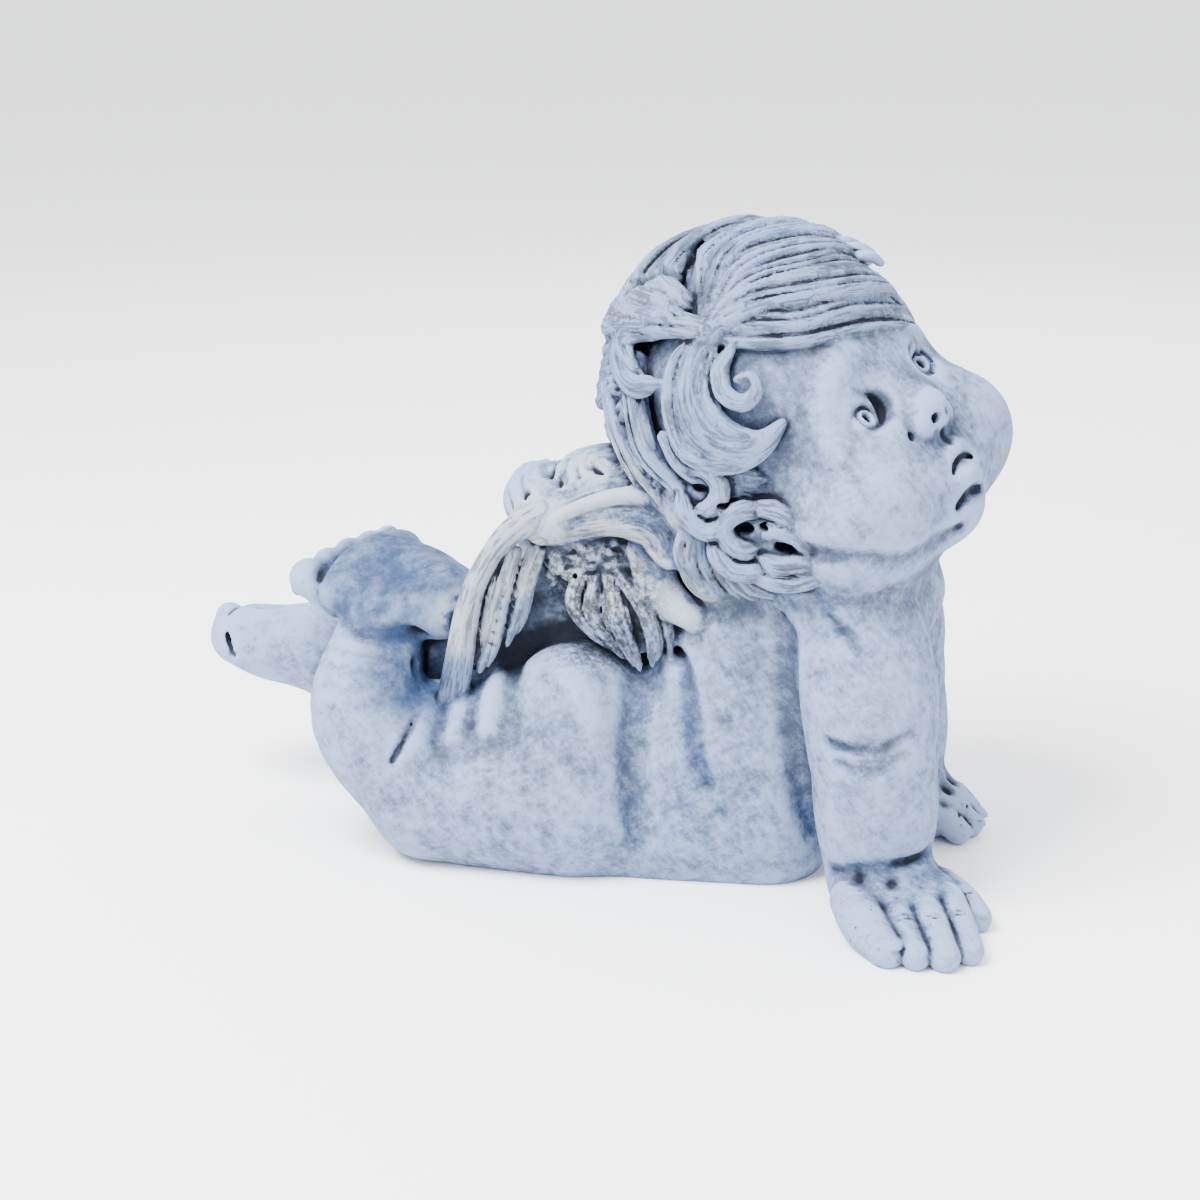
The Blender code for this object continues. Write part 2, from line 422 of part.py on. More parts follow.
def hair(clay):
    """Thick locks swept over the head from the right temple, curls at the ear and down the nape."""
    for number, (points, wide) in enumerate(CROWN_ROLLS + FAR_LOCKS):
        raised = (-0.8, -1.1, -0.9)[number] if number < 3 else 0.0
        tress(clay, points, wide, 1.5 - raised * 0.6, raised)
    for number, (points, wide) in enumerate(TOP_LOCKS):
        tress(clay, points, wide, (0.9, 1.1, 1.5)[min(number, 2)], (0.4, 0.2, -0.1)[min(number, 2)])
    for points in CRESCENT:
        clay.lock(head_line(points), [0.8, 1.2, 1.6, 2.0, 2.0, 1.5, 1.0, 0.5], 1.4, from_head, blend=0.5)
    clay.limb(head_line(CURL), [0.6, 1.1, 1.25, 1.15, 0.95, 0.8, 0.8], blend=0.3)
    clay.lock(head_line(RIBBON), [1.2, 2.1, 2.6, 2.5, 2.2, 1.6, 0.8], 1.3, from_head, blend=0.5)
    for points in ((14.2, 8.6, 11.6), (15.4, 6.8, 9.8), (13.4, 10.2, 9.4)):
        clay.ball(on_head(*points), (1.6, 1.6, 1.6), blend=0.6)
    clay.ball((15.5, -10.5, 48.0), (6.0, 5.2, 6.5), blend=2)
    clay.ball((22.0, -11.5, 45.5), (6.5, 5.2, 4.5), blend=2)
    clay.ball((15.5, -10.0, 41.0), (4.5, 4.6, 5.5), blend=2)
    for points in FAN:
        clay.lock(points, [1.1, 1.15, 0.6], 1.2, out_right, blend=0.5)
    for points in BRIDGE:
        clay.lock(points, [0.8, 1.0, 1.0, 0.9, 0.4], 1.1, out_right, blend=0.5)
    for points in NAPE_CURLS:
        clay.lock(points, [0.6] + [1.15] * (len(points) - 2) + [0.55], 1.3, out_right, blend=0.5)
    for points, wide in HANGING:
        tress(clay, points, wide, 1.6)


def head(clay):
    clay.ball(on_head(-1, 0, 2.4), (17.8, 17.2, 17.8), HEAD_AXES, blend=2)
    clay.ball(on_head(-4.5, -4, -9.5), (11.5, 12.6, 12.0), HEAD_AXES, blend=2.5)
    face(clay)
    hair(clay)


OUTER_FEATHER = ((-5.6, 8.0, 44.6), (-8.4, 8.6, 43.0), (-11.2, 8.9, 40.1), (-13.4, 9.2, 36.2),
                 (-14.8, 9.3, 31.5), (-15.7, 9.2, 26.4),
                 (-16.6, 9.0, 21.9), (-17.2, 8.8, 19.0))
BEHIND_FEATHERS = (
    (((-6.6, 6.6, 39.6), (-7.8, 7.2, 35.6), (-8.8, 7.2, 31.5), (-10.2, 7.0, 27.6)), 1.3),
    (((-9.6, 7.6, 39.6), (-10.8, 8.0, 35.1), (-11.8, 8.0, 30.7), (-12.5, 7.9, 27.6), (-13.5, 7.8, 24.4)),
     1.75),
)
BUNDLE = (
    (((-1.2, 6.4, 37.0), (-1.8, 7.6, 33.4), (0.8, 8.0, 30.2), (3.9, 7.6, 28.0)), 1.3),
    (((7.2, 6.6, 36.6), (10.4, 7.4, 33.2), (11.4, 7.6, 30.0)), 1.1),
    (((0.8, 6.8, 36.6), (0.6, 8.2, 32.6), (3.2, 8.6, 29.4), (5.4, 8.2, 26.9)), 1.35),
    (((5.8, 7.0, 36.4), (9.0, 8.2, 32.4), (10.1, 8.2, 27.8)), 1.3),
    (((3.9, 7.2, 37.0), (6.9, 8.9, 33.6), (8.2, 9.0, 29.8), (7.9, 8.4, 26.6)), 1.3),
    (((2.6, 7.2, 36.6), (3.8, 9.1, 32.0), (6.3, 8.8, 26.2)), 1.6),
)
BAR = ((-6.0, 8.0, 41.8), (-2.4, 8.0, 43.8), (1.0, 8.1, 44.8), (4.7, 8.2, 45.2), (8.2, 8.3, 44.5),
       (9.9, 8.4, 42.4),
       (9.9, 8.6, 40.8))
BAR_RIM = ((-5.2, 8.8, 42.8), (-3.0, 9.6, 44.9), (0.3, 10.0, 46.6), (4.0, 10.2, 47.8), (8.0, 10.2, 47.9),
           (10.9, 10.2, 46.2),
           (12.0, 10.2, 43.8), (11.7, 10.2, 41.5), (10.0, 10.2, 40.1), (7.9, 10.0, 41.4))
SHOULDER_BAND = ((7.3, 7.4, 41.0), (8.2, 7.9, 37.0), (10.2, 8.6, 34.6), (12.8, 9.4, 33.0))


def wing(clay, side):
    """An arched wing: a thick rolled edge on top, long outer feathers and a bundle of short ones inside."""
    def out(place):
        return np.array((0.1, side * 0.965, 0.24))

    def line(points):
        return [(x, side * y, z) for x, y, z in points]

    clay.ball((5.0, side * 5.2, 45.8), (7.4, 4.6, 3.6), blend=2.2)
    clay.ball((-3.6, side * 5.6, 43.4), (5.6, 4.0, 3.2), blend=2.2)
    clay.ball((0.6, side * 5.0, 38.8), (7.0, 2.7, 3.9), blend=1.2)
    clay.ball((4.8, side * 5.8, 32.4), (5.6, 2.5, 5.6), blend=1.2)
    for points, wide in BEHIND_FEATHERS:
        clay.lock(line(points), [wide * 0.9] + [wide] * (len(points) - 2) + [wide * 0.4], 1.1, out, blend=0.4)
    clay.lock(line(OUTER_FEATHER), [1.5, 1.7, 1.35, 1.35, 1.6, 1.85, 2.0, 1.6], 1.5, out, blend=0.5)
    for points, wide in BUNDLE:
        clay.lock(line(points), [wide * 0.8] + [wide] * (len(points) - 2) + [wide * 0.4], 1.15, out,
                  blend=0.4)
    clay.lock(line(SHOULDER_BAND), [2.8, 2.5, 2.2, 1.6], 1.7, out, blend=0.9)
    clay.lock(line(BAR), [1.0, 1.8, 2.5, 3.0, 3.5, 3.1, 2.1], 2.7, out, blend=0.6)
    clay.limb(line(BAR_RIM), [0.4, 0.7, 0.85, 0.95, 1.0, 1.0, 1.0, 0.95, 0.8, 0.4], blend=0.7)


def wings(clay):
    """Both wings, the web of the cast between them and the two lumps where they meet behind the head."""
    clay.ball((5, 0, 34), (9.5, 4.4, 11), blend=1.5)
    clay.ball((-4, 0, 30), (10, 4.2, 10), blend=1.5)
    clay.limb([(-2, 0, 41), (-9, 0, 35), (-13.5, 0, 26), (-13, 0, 19)], [4.2, 4.2, 3.6, 3.6], blend=1)
    clay.ball((1.2, 0, 46.2), (7.2, 6.8, 5.1), blend=1.5)
    clay.ball((-7.0, 0.5, 44.2), (5.0, 6.8, 4.5), blend=1.4)
    for side in (-1, 1):
        wing(clay, side)


def figure(clay):
    torso(clay)
    arm(clay, -1, (35.6, -14.8, 5.5))
    arm(clay, 1, (36.6, 11.6, 6.0))
    hand(clay, (38.6, -18.6, 3.0), (0.16, -0.987, 0), (0.987, 0.16, 0), NEAR_FINGERS, NEAR_THUMB)
    hand(clay, (39.8, 9.6, 3.2), (0.99, -0.14, 0), (-0.14, -0.99, 0), FAR_FINGERS, FAR_THUMB)
    leg(clay, -1, (-19.5, -9.0, 7.6), (-27.4, -8.6, 17.5), (-27.0, -5.0, 27.0))
    leg(clay, 1, (-19.5, 9.0, 7.6), (-29.5, 9.5, 15), (-40.0, 8.5, 20.5))
    foot(clay, (-25.4, -0.9, 32.9), (-0.88, 0.42, 0.12), (0.0, -0.27, 0.96), 1, 1.1, 1.25)
    clay.limb([(-24, 1.5, 23.5), (-16, 1.5, 25.0), (-8, 2.0, 25.0)], [5.0, 4.6, 4.5], blend=1.5)
    clay.limb([(-40, 8.5, 20.4), (-45, 8.4, 20.6), (-50, 8.4, 20.8)], [5.4, 5.3, 3.6], blend=2)
    foot(clay, (-44.8, 8.4, 21.0), (-1.0, 0.0, 0.06), (0.0, -0.5, 0.86), -1, 0.82, 0.78)
    folds(clay)
    head(clay)
    wings(clay)


def skin_of(clay, name):
    """The surface of the clay as a mesh, in metres."""
    grid = openvdb.FloatGrid(EMPTY)
    grid.copyFromArray(clay.cells)
    points, triangles, quads = grid.convertToPolygons(0.0, 0.0)
    mesh = bpy.data.meshes.new(name)
    faces = [tuple(int(i) for i in face) for face in list(quads) + list(triangles)]
    mesh.from_pydata(((points * clay.grain + clay.low) * UNIT).tolist(), [], faces)
    mesh.update()
    return mesh


def keep_largest(form):
    """Removes sealed hollows and crumbs: all but the island with the most corners."""
    left = set(form.verts)
    islands = []
    while left:
        island = [left.pop()]
        for corner in island:
            for edge in corner.link_edges:
                other = edge.other_vert(corner)
                if other in left:
                    left.remove(other)
                    island.append(other)
        islands.append(island)
    islands.sort(key=len)
    bmesh.ops.delete(form, geom=[corner for island in islands[:-1] for corner in island], context="VERTS")


def stone():
    material = bpy.data.materials.new("stone")
    material.use_nodes = True
    shader = material.node_tree.nodes["Principled BSDF"]
    shader.inputs["Base Color"].default_value = STONE_COLOUR
    shader.inputs["Roughness"].default_value = STONE_ROUGHNESS
    return material


def main():
    for old in list(bpy.data.objects):
        bpy.data.objects.remove(old, do_unlink=True)
    clay = Clay(BLOCK_LOW, BLOCK_HIGH, GRAIN)
    figure(clay)
    mesh = skin_of(clay, "angel")
    angel = bpy.data.objects.new("angel", mesh)
    bpy.context.scene.collection.objects.link(angel)

    form = bmesh.new()
    form.from_mesh(mesh)
    keep_largest(form)
    bmesh.ops.triangulate(form, faces=form.faces)
    full = len(form.faces)
    form.to_mesh(mesh)
    form.free()
    thin = angel.modifiers.new("thin", "DECIMATE")
    thin.ratio = TRIANGLES / full
    graph = bpy.context.evaluated_depsgraph_get()
    thinned = bpy.data.meshes.new_from_object(angel.evaluated_get(graph))
    angel.modifiers.clear()

    form = bmesh.new()
    form.from_mesh(thinned)
    floor = SLICE * UNIT
    everything = form.verts[:] + form.edges[:] + form.faces[:]
    bmesh.ops.bisect_plane(form, geom=everything, plane_co=(0, 0, floor), plane_no=(0, 0, 1),
                           clear_inner=True)
    rim = [edge for edge in form.edges if edge.is_boundary]
    bmesh.ops.holes_fill(form, edges=rim, sides=0)
    bmesh.ops.triangulate(form, faces=form.faces)
    keep_largest(form)
    bmesh.ops.recalc_face_normals(form, faces=form.faces)
    places = np.array([corner.co for corner in form.verts])
    low, high = places.min(0), places.max(0)
    middle = Vector(((low[0] + high[0]) / 2, (low[1] + high[1]) / 2, floor))
    for corner in form.verts:
        corner.co -= middle
        if corner.co.z < floor / 1000:
            corner.co.z = 0
    form.to_mesh(thinned)
    form.free()
    angel.data = thinned
    bpy.data.meshes.remove(mesh)
    thinned.materials.append(stone())
    print("middle of the figure in the block, in shares:", [round(value / UNIT, 3) for value in middle])


if __name__ == "__main__":
    main()
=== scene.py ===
"""Looks of a garden statue: a putto lying on its belly, propped on straight arms, cast in one piece of
stone mix.

The figure is sculpted as clay is, pressed together from rolls, balls and flat locks in a block of
distances to the surface, because soft carving like this has no flat or turned faces to extrude. Places
are in shares of the figure's length: it faces +X, its right side is towards -Y and the ground is z = 0.
"""

import bmesh
import bpy
import numpy as np
import openvdb
from mathutils import Matrix, Vector


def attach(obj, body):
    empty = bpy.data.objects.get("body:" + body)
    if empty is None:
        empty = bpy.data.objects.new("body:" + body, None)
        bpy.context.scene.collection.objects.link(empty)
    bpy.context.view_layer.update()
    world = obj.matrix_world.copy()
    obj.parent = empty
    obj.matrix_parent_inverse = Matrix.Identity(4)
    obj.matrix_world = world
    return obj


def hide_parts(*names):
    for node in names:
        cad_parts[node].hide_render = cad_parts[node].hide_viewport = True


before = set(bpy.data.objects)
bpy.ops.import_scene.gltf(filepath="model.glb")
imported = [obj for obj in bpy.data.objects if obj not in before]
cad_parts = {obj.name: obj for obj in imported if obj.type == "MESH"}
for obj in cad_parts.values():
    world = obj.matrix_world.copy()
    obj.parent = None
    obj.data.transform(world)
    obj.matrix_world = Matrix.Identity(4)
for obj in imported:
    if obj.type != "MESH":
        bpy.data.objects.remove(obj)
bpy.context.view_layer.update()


# The body of the casting: hips, belly, chest and shoulders, with the rolls of fat at the waist and hip.
# It is one solid of grey stone mix, so every later form is pressed into the same block of clay.
LENGTH = 0.36
SHARES = 103.35
UNIT = LENGTH / SHARES
MIDDLE = np.array((-2.165, -5.152, 0.25))
GRAIN = 0.30
BLOCK_LOW = (-58.0, -36.0, -2.5)
BLOCK_HIGH = (56.0, 26.0, 86.0)
EMPTY = 9.0
COMB_MARK = 20
REACH = 2.0


def soft_union(first, second, blend):
    near = np.maximum(blend - np.abs(first - second), 0) / blend
    return np.minimum(first, second) - near * near * blend / 4


def smooth_line(points, steps):
    """Points of a Catmull-Rom curve through the given ones."""
    points = np.array(points, float)
    ends = np.vstack([2 * points[0] - points[1], points, 2 * points[-1] - points[-2]])
    line = []
    for a, b, c, d in zip(ends[:-3], ends[1:-2], ends[2:-1], ends[3:]):
        for t in np.arange(steps) / steps:
            line.append(0.5 * (2 * b + (c - a) * t + (2 * a - 5 * b + 4 * c - d) * t ** 2
                               + (3 * b - a - 3 * c + d) * t ** 3))
    line.append(points[-1])
    return np.array(line)


class Clay:
    """A block of cells with the distance to the surface, less than 0 inside, and the comb marks on it."""

    def __init__(self, low, high, grain):
        self.grain = grain
        self.low = np.array(low, float)
        count = np.ceil((np.array(high) - self.low) / grain).astype(int) + 1
        self.axes = [self.low[i].astype(np.float32) + grain * np.arange(count[i],
                                                                        dtype=np.float32) for i in range(3)]
        self.cells = np.full(count, EMPTY, np.float32)
        self.comb = np.zeros(count, np.float32)

    def span(self, low, high):
        """The slices of the block between two corners, and the cells' places there."""
        cut = []
        for i in range(3):
            start = int(np.clip((low[i] - self.low[i]) // self.grain, 0, self.cells.shape[i] - 1))
            stop = int(np.clip((high[i] - self.low[i]) // self.grain + 2, start + 1, self.cells.shape[i]))
            cut.append(slice(start, stop))
        x, y, z = (self.axes[i][cut[i]] for i in range(3))
        return tuple(cut), x[:, None, None], y[None, :, None], z[None, None, :]

    def press(self, cut, distance, blend, carve=False, comb=0.0):
        if carve:
            self.cells[cut] = -soft_union(-self.cells[cut], distance, blend)
            return
        self.comb[cut] = np.where(distance < self.cells[cut], comb, self.comb[cut])
        self.cells[cut] = soft_union(self.cells[cut], distance, blend)

    def ball(self, centre, radii, turn=None, blend=2.0, carve=False):
        """An egg of three radii; turn is a matrix whose columns are its axes."""
        centre = np.array(centre, float)
        radii = np.array(radii, float)
        reach = radii.max() + blend + REACH
        cut, x, y, z = self.span(centre - reach, centre + reach)
        x, y, z = (v - np.float32(c) for v, c in zip((x, y, z), centre))
        if turn is not None:
            x, y, z = (x * np.float32(a[0]) + y * np.float32(a[1]) + z * np.float32(a[2])
                       for a in np.array(turn).T)
        a, b, c = radii.astype(np.float32)
        near = np.sqrt((x / a) ** 2 + (y / b) ** 2 + (z / c) ** 2)
        steep = np.sqrt((x / a ** 2) ** 2 + (y / b ** 2) ** 2 + (z / c ** 2) ** 2)
        self.press(cut, near * (near - 1) / np.maximum(steep, np.float32(1e-6)), blend, carve)

    def segments(self, line, reach, cut, axes):
        """Each piece of a line, the cells near it, how far along it they lie and their ways from it."""
        x, y, z = axes
        for a, b in zip(line[:-1].astype(np.float32), line[1:].astype(np.float32)):
            along = (b - a)[:3]
            length = max(along @ along, np.float32(1e-9))
            part = self.span(np.minimum(a, b)[:3] - reach, np.maximum(a, b)[:3] + reach)[0]
            place = tuple(slice(p.start - c.start, p.stop - c.start) for p, c in zip(part, cut))
            px, py, pz = x[place[0]] - a[0], y[:, place[1]] - a[1], z[:, :, place[2]] - a[2]
            share = np.clip((px * along[0] + py * along[1] + pz * along[2]) / length, 0, 1)
            yield a, b, place, share, (px - share * along[0], py - share * along[1], pz - share * along[2])

    def limb(self, points, radii, blend=2.0, carve=False, steps=6):
        """A round roll of changing thickness along a smooth line through the points."""
        line = smooth_line(np.column_stack([points, radii]), steps)
        reach = line[:, 3].max() + blend + REACH
        cut, x, y, z = self.span(line[:, :3].min(0) - reach, line[:, :3].max(0) + reach)
        found = np.full(self.cells[cut].shape, EMPTY, np.float32)
        for a, b, place, share, (qx, qy, qz) in self.segments(line, reach, cut, (x, y, z)):
            gap = np.sqrt(qx ** 2 + qy ** 2 + qz ** 2)
            found[place] = np.minimum(found[place], gap - a[3] - share * (b[3] - a[3]))
        self.press(cut, found, blend, carve)

    def lock(self, points, widths, thickness, outward, blend=0.8, strands=0.0, pitch=1.6, steps=6,
             combing=True):
        """A flat, combed roll: a lock of hair or a feather. outward gives the way its flat side faces."""
        line = smooth_line(np.column_stack([points, widths]), steps)
        reach = line[:, 3].max() + blend + 1.0
        cut, x, y, z = self.span(line[:, :3].min(0) - reach, line[:, :3].max(0) + reach)
        found = np.full(self.cells[cut].shape, EMPTY, np.float32)
        combed = np.zeros(found.shape, np.float32)
        for a, b, place, share, (qx, qy, qz) in self.segments(line, reach, cut, (x, y, z)):
            along = (b - a)[:3]
            way = along / np.sqrt(max(along @ along, np.float32(1e-9)))
            face = outward((a + b)[:3] / 2)
            side = np.cross(way, face).astype(np.float32)
            side /= np.linalg.norm(side)
            face = np.cross(side, way).astype(np.float32)
            across = qx * side[0] + qy * side[1] + qz * side[2]
            above = qx * face[0] + qy * face[1] + qz * face[2]
            beyond = qx * way[0] + qy * way[1] + qz * way[2]
            wide = np.maximum(a[3] + share * (b[3] - a[3]), np.float32(0.15))
            thick = np.minimum(wide, np.float32(thickness))
            near = np.sqrt((across / wide) ** 2 + (above / thick) ** 2 + (beyond / thick) ** 2)
            steep = np.sqrt((across / wide ** 2) ** 2 + (above / thick ** 2) ** 2
                            + (beyond / thick ** 2) ** 2)
            distance = near * (near - 1) / np.maximum(steep, np.float32(1e-6))
            if strands:
                distance = distance + strands * (0.5 - 0.5 * np.cos(2 * np.pi * across / pitch)) ** 2
            nearer = distance < found[place]
            found[place] = np.where(nearer, distance, found[place])
            combed[place] = np.where(nearer, across + COMB_MARK, combed[place])
        self.press(cut, found, blend, False, combed if combing else 0.0)


clay = Clay(BLOCK_LOW, BLOCK_HIGH, GRAIN)
for side in (-1, 1):
    clay.limb([(-13, side * 5.0, 6.5), (4, side * 5.0, 5.5), (21, side * 4.6, 5.5)], [9.0, 9.4, 9.2],
              blend=3)
clay.ball((-5, 0, 11), (16, 13.0, 13.0), blend=3)
clay.ball((9, 0, 13), (13, 13.0, 13.0), blend=3)
clay.ball((21, 0, 16), (13, 13.2, 16), blend=4)
clay.ball((29, 0, 25), (12, 12.5, 13.5), blend=5)
clay.ball((19, 0, 27), (13, 12.0, 9.5), blend=4)
for side in (-1, 1):
    clay.ball((-1.5, side * 6.2, 17.5), (9.5, 8.2, 10.5), blend=2.0)
    clay.limb([(32, side * 10.5, 33), (27, side * 8, 34), (20, side * 5, 32)], [6.5, 7, 6], blend=4)
clay.limb([(20, 0, 34), (24, 0, 40), (26, 0, 46)], [10, 10, 11], blend=4)
clay.ball((33.5, 0, 35), (8.6, 9.5, 7), blend=3)


# The legs: short fat thighs flat on the ground, the shins bent up and back behind the knees, and a bare
# foot on each, pressed on while the clay is soft, with rolls of fat on the thigh and a groove behind
# the toes.
THIGH_ROLLS = (
    ((-19.4, -5.5, 20.4), (-19.6, -9.5, 19.2), (-20.2, -12.2, 16.2)),
    ((-15.5, -5.0, 21.6), (-15.6, -9.5, 20.2), (-15.8, -12.2, 17.0)),
    ((-11.6, -4.5, 22.8), (-11.6, -9.5, 21.6), (-11.6, -12.4, 18.6)),
)
THIGH_CREASES = (
    ((-21.2, -9.5, 19.8), (-21.4, -12.0, 18.0), (-22.6, -13.6, 14.6)),
    ((-17.5, -8.0, 22.2), (-17.6, -11.6, 20.6), (-17.8, -14.0, 16.6)),
    ((-13.4, -7.0, 24.0), (-13.5, -11.4, 22.2), (-13.8, -14.0, 18.2)),
    ((-9.4, -6.5, 25.2), (-9.4, -11.0, 23.8), (-9.5, -13.4, 20.8)),
)


def press_leg(side, knee, calf, ankle):
    clay.limb([(-3, side * 7.5, 9), (-12, side * 8.3, 8.5), knee], [10.5, 9.2, 7.8], blend=3)
    clay.limb([knee, calf, ankle], [7.5, 7.3, 5.4], blend=1.6)


def furrow(points, radii, blend, steps=6):
    clay.limb(points, radii, blend=blend, carve=True, steps=steps)


def press_foot(middle, toes_way, sole_way, big_toe, size=1.0, spread=1.0):
    """A fat foot: toes_way runs from heel to toes and sole_way out of the sole."""
    middle = np.array(middle, float)
    along = np.array(toes_way, float) / np.linalg.norm(toes_way)
    out = np.array(sole_way, float)
    out -= along * (out @ along)
    out /= np.linalg.norm(out)
    wide = np.cross(out, along) * big_toe
    axes = np.column_stack([along, wide, out])

    def at(forward, across, up):
        return middle + (along * forward + wide * across + out * up) * size

    clay.ball(at(0, 0, -0.3), np.array((9.6, 5.4 * spread, 3.7)) * size, axes, blend=2)
    clay.ball(at(-6.6, 0, -0.5), np.array((4.5, 4.6, 4.1)) * size, axes, blend=2)
    clay.ball(at(4.2, 0, 0.1), np.array((3.6, 6.3 * spread, 3.3)) * size, axes, blend=1.6)
    clay.ball(at(-1.2, 3.2, 3.7), np.array((4.6, 3.0, 1.5)) * size, axes, blend=1.6, carve=True)
    toes = ((4.2, 8.9, 2.3), (1.4, 9.0, 1.9), (-1.0, 8.5, 1.8), (-3.2, 7.7, 1.65), (-5.0, 6.8, 1.5))
    for slip, length, thick in np.array(toes) * (spread, 1.0, 1.0):
        root = at(length - 3.2, slip * 0.95, -1.8)
        clay.limb([root, at(length - 1.2, slip, -0.4), at(length, slip, 0.2)],
                  np.array([thick * 0.9, thick * 0.9, thick]) * size, blend=0.9)
        clay.ball(at(length + thick * 0.72, slip, -thick * 0.55),
                  np.array((0.42, thick * 0.62, thick * 0.6)) * size, axes, blend=0.25)
    furrow([at(6.6, 4.8 * spread, 1.4), at(7.2, 2.4 * spread, 2.0), at(7.1, -0.4 * spread, 2.2),
            at(6.4, -3.4 * spread, 1.9), at(5.6, -5.9 * spread, 0.8)],
            np.array([0.6, 1.0, 1.15, 1.1, 0.7]) * size, 0.6)
    for forward, up in ((1.5, 0.6), (-0.6, 0.3)):
        furrow([at(forward, -5.6, up), at(forward - 0.8, -5.9, -1.4), at(forward - 1.2, -5.2, -3.0)],
               [0.25, 0.3, 0.2], 0.5)
    furrow([at(-9.6, 2.8, 2.6), at(-10.8, 0.0, 1.6), at(-9.8, -3.0, 1.4)], [0.3, 0.35, 0.2], 0.9)


press_leg(-1, (-19.5, -9.0, 7.6), (-27.4, -8.6, 17.5), (-27.0, -5.0, 27.0))
press_leg(1, (-19.5, 9.0, 7.6), (-29.5, 9.5, 15), (-40.0, 8.5, 20.5))
press_foot((-25.4, -0.9, 32.9), (-0.88, 0.42, 0.12), (0.0, -0.27, 0.96), 1, 1.1, 1.25)
clay.limb([(-24, 1.5, 23.5), (-16, 1.5, 25.0), (-8, 2.0, 25.0)], [5.0, 4.6, 4.5], blend=1.5)
clay.limb([(-40, 8.5, 20.4), (-45, 8.4, 20.6), (-50, 8.4, 20.8)], [5.4, 5.3, 3.6], blend=2)
press_foot((-44.8, 8.4, 21.0), (-1.0, 0.0, 0.06), (0.0, -0.5, 0.86), -1, 0.82, 0.78)
furrow([(-32.2, -7.4, 30.8), (-29.6, -9.4, 29.6), (-26.5, -10.2, 28.8), (-23.4, -9.2, 28.5),
        (-21.0, -7.0, 28.6)], [0.5, 0.8, 0.9, 0.9, 0.6], 1.6)
furrow([(-21.8, -8.0, 24.8), (-20.4, -9.3, 21.8), (-20.2, -11.8, 19.8), (-21.4, -14.4, 17.2),
        (-22.8, -15.6, 14.8)], [0.4, 0.6, 0.6, 0.5, 0.2], 1.0)
for side in (-1, 1):
    for roll in THIGH_ROLLS:
        clay.limb([(x, -side * y, z) for x, y, z in roll], [1.1, 1.3, 0.7], blend=3.2)
    for crease in THIGH_CREASES:
        furrow([(x, -side * y, z) for x, y, z in crease], [0.3, 0.42, 0.1], 1.5)


# The arms and hands: straight and thick, with a fold at the elbow, a bracelet of fat at the wrist and
# hands flat on the ground, the right one turned outwards and the left one forwards. Nails are pressed
# on.
def press_arm(side, wrist):
    wrist = np.array(wrist, float)
    elbow = np.array((35.0, side * 14.0, wrist[2] + 12.5))
    clay.limb([(32, side * 10.5, 33.5), (33.8, side * 13, 27), elbow + (-0.4, 0, 3)], [7.5, 8.2, 7.6],
              blend=4)
    clay.limb([elbow, (elbow + wrist) / 2 + (0.2, 0, 0), wrist], [7.4, 7.2, 5.9], blend=1.2)


def press_hand(palm, reach, across, fingers, thumb):
    """A fat hand: fingers and thumb are given as places and thicknesses from the palm."""
    palm, reach, across = np.array(palm, float), np.array(reach, float), np.array(across, float)
    up = np.array((0.0, 0.0, 1.0))
    axes = np.column_stack([reach, across, up])

    def at(forward, aside, lift):
        return palm + reach * forward + across * aside + up * lift

    clay.ball(at(-0.6, 0, 0), (7.6, 7.4, 4.1), axes, blend=2.5)
    for line, widths in fingers + (thumb,):
        places = [at(*point) for point in line]
        clay.limb(places, widths, blend=0.4)
        way = places[-1] - places[-2]
        way /= np.linalg.norm(way)
        aside = np.cross(way, up)
        aside /= np.linalg.norm(aside)
        lift = np.cross(aside, way)
        thick = widths[-1]
        clay.ball(places[-1] + way * thick * 0.35 + lift * thick * 0.78, (thick * 0.62, thick * 0.55, 0.32),
                  np.column_stack([way, aside, lift]), blend=0.15)
        for slip in (0.25, 0.85):
            knuckle = places[1] + way * slip + lift * thick * 0.98
            furrow([knuckle - aside * 0.9, knuckle, knuckle + aside * 0.9], [0.1, 0.16, 0.1], 0.35)
        clay.ball(places[0] + lift * (thick + 1.2), (0.7, 0.6, 0.6), np.column_stack([way, aside, lift]),
                  blend=1.2, carve=True)


NEAR_FINGERS = (
    (((1.5, -5.4, 0.4), (6.8, -4.4, -0.3), (11.0, -2.4, -1.3)), (2.7, 2.7, 2.05)),
    (((2.6, -1.4, 0.9), (7.2, -0.5, 0.1), (12.0, 0.7, -1.4)), (2.0, 1.95, 1.65)),
    (((2.8, 2.2, 1.0), (7.4, 2.9, 0.2), (12.2, 3.9, -1.4)), (2.15, 2.1, 1.8)),
    (((2.0, 5.5, 0.8), (6.0, 6.0, 0.2), (10.6, 6.9, -1.4)), (2.0, 1.95, 1.7)),
)
NEAR_THUMB = (((-3.2, 5.4, -0.2), (-0.6, 7.6, -0.8), (2.2, 8.9, -1.4)), (2.5, 2.2, 1.85))
FAR_FINGERS = (
    (((2.5, 4.4, 0.4), (4.4, 4.4, 0.0), (6.1, 4.4, -1.4)), (1.8, 1.8, 1.6)),
    (((2.5, 1.5, 0.6), (4.9, 1.5, 0.1), (7.1, 1.5, -1.4)), (1.9, 1.9, 1.7)),
    (((2.5, -1.4, 0.6), (4.8, -1.4, 0.1), (6.9, -1.4, -1.4)), (1.9, 1.9, 1.7)),
    (((2.5, -4.3, 0.4), (4.2, -4.3, 0.0), (5.7, -4.3, -1.4)), (1.8, 1.8, 1.6)),
)
FAR_THUMB = (((-3.0, 5.2, -0.6), (-1.4, 7.8, -1.2), (1.2, 9.2, -1.4)), (2.5, 2.2, 1.8))
press_arm(-1, (35.6, -14.8, 5.5))
press_arm(1, (36.6, 11.6, 6.0))
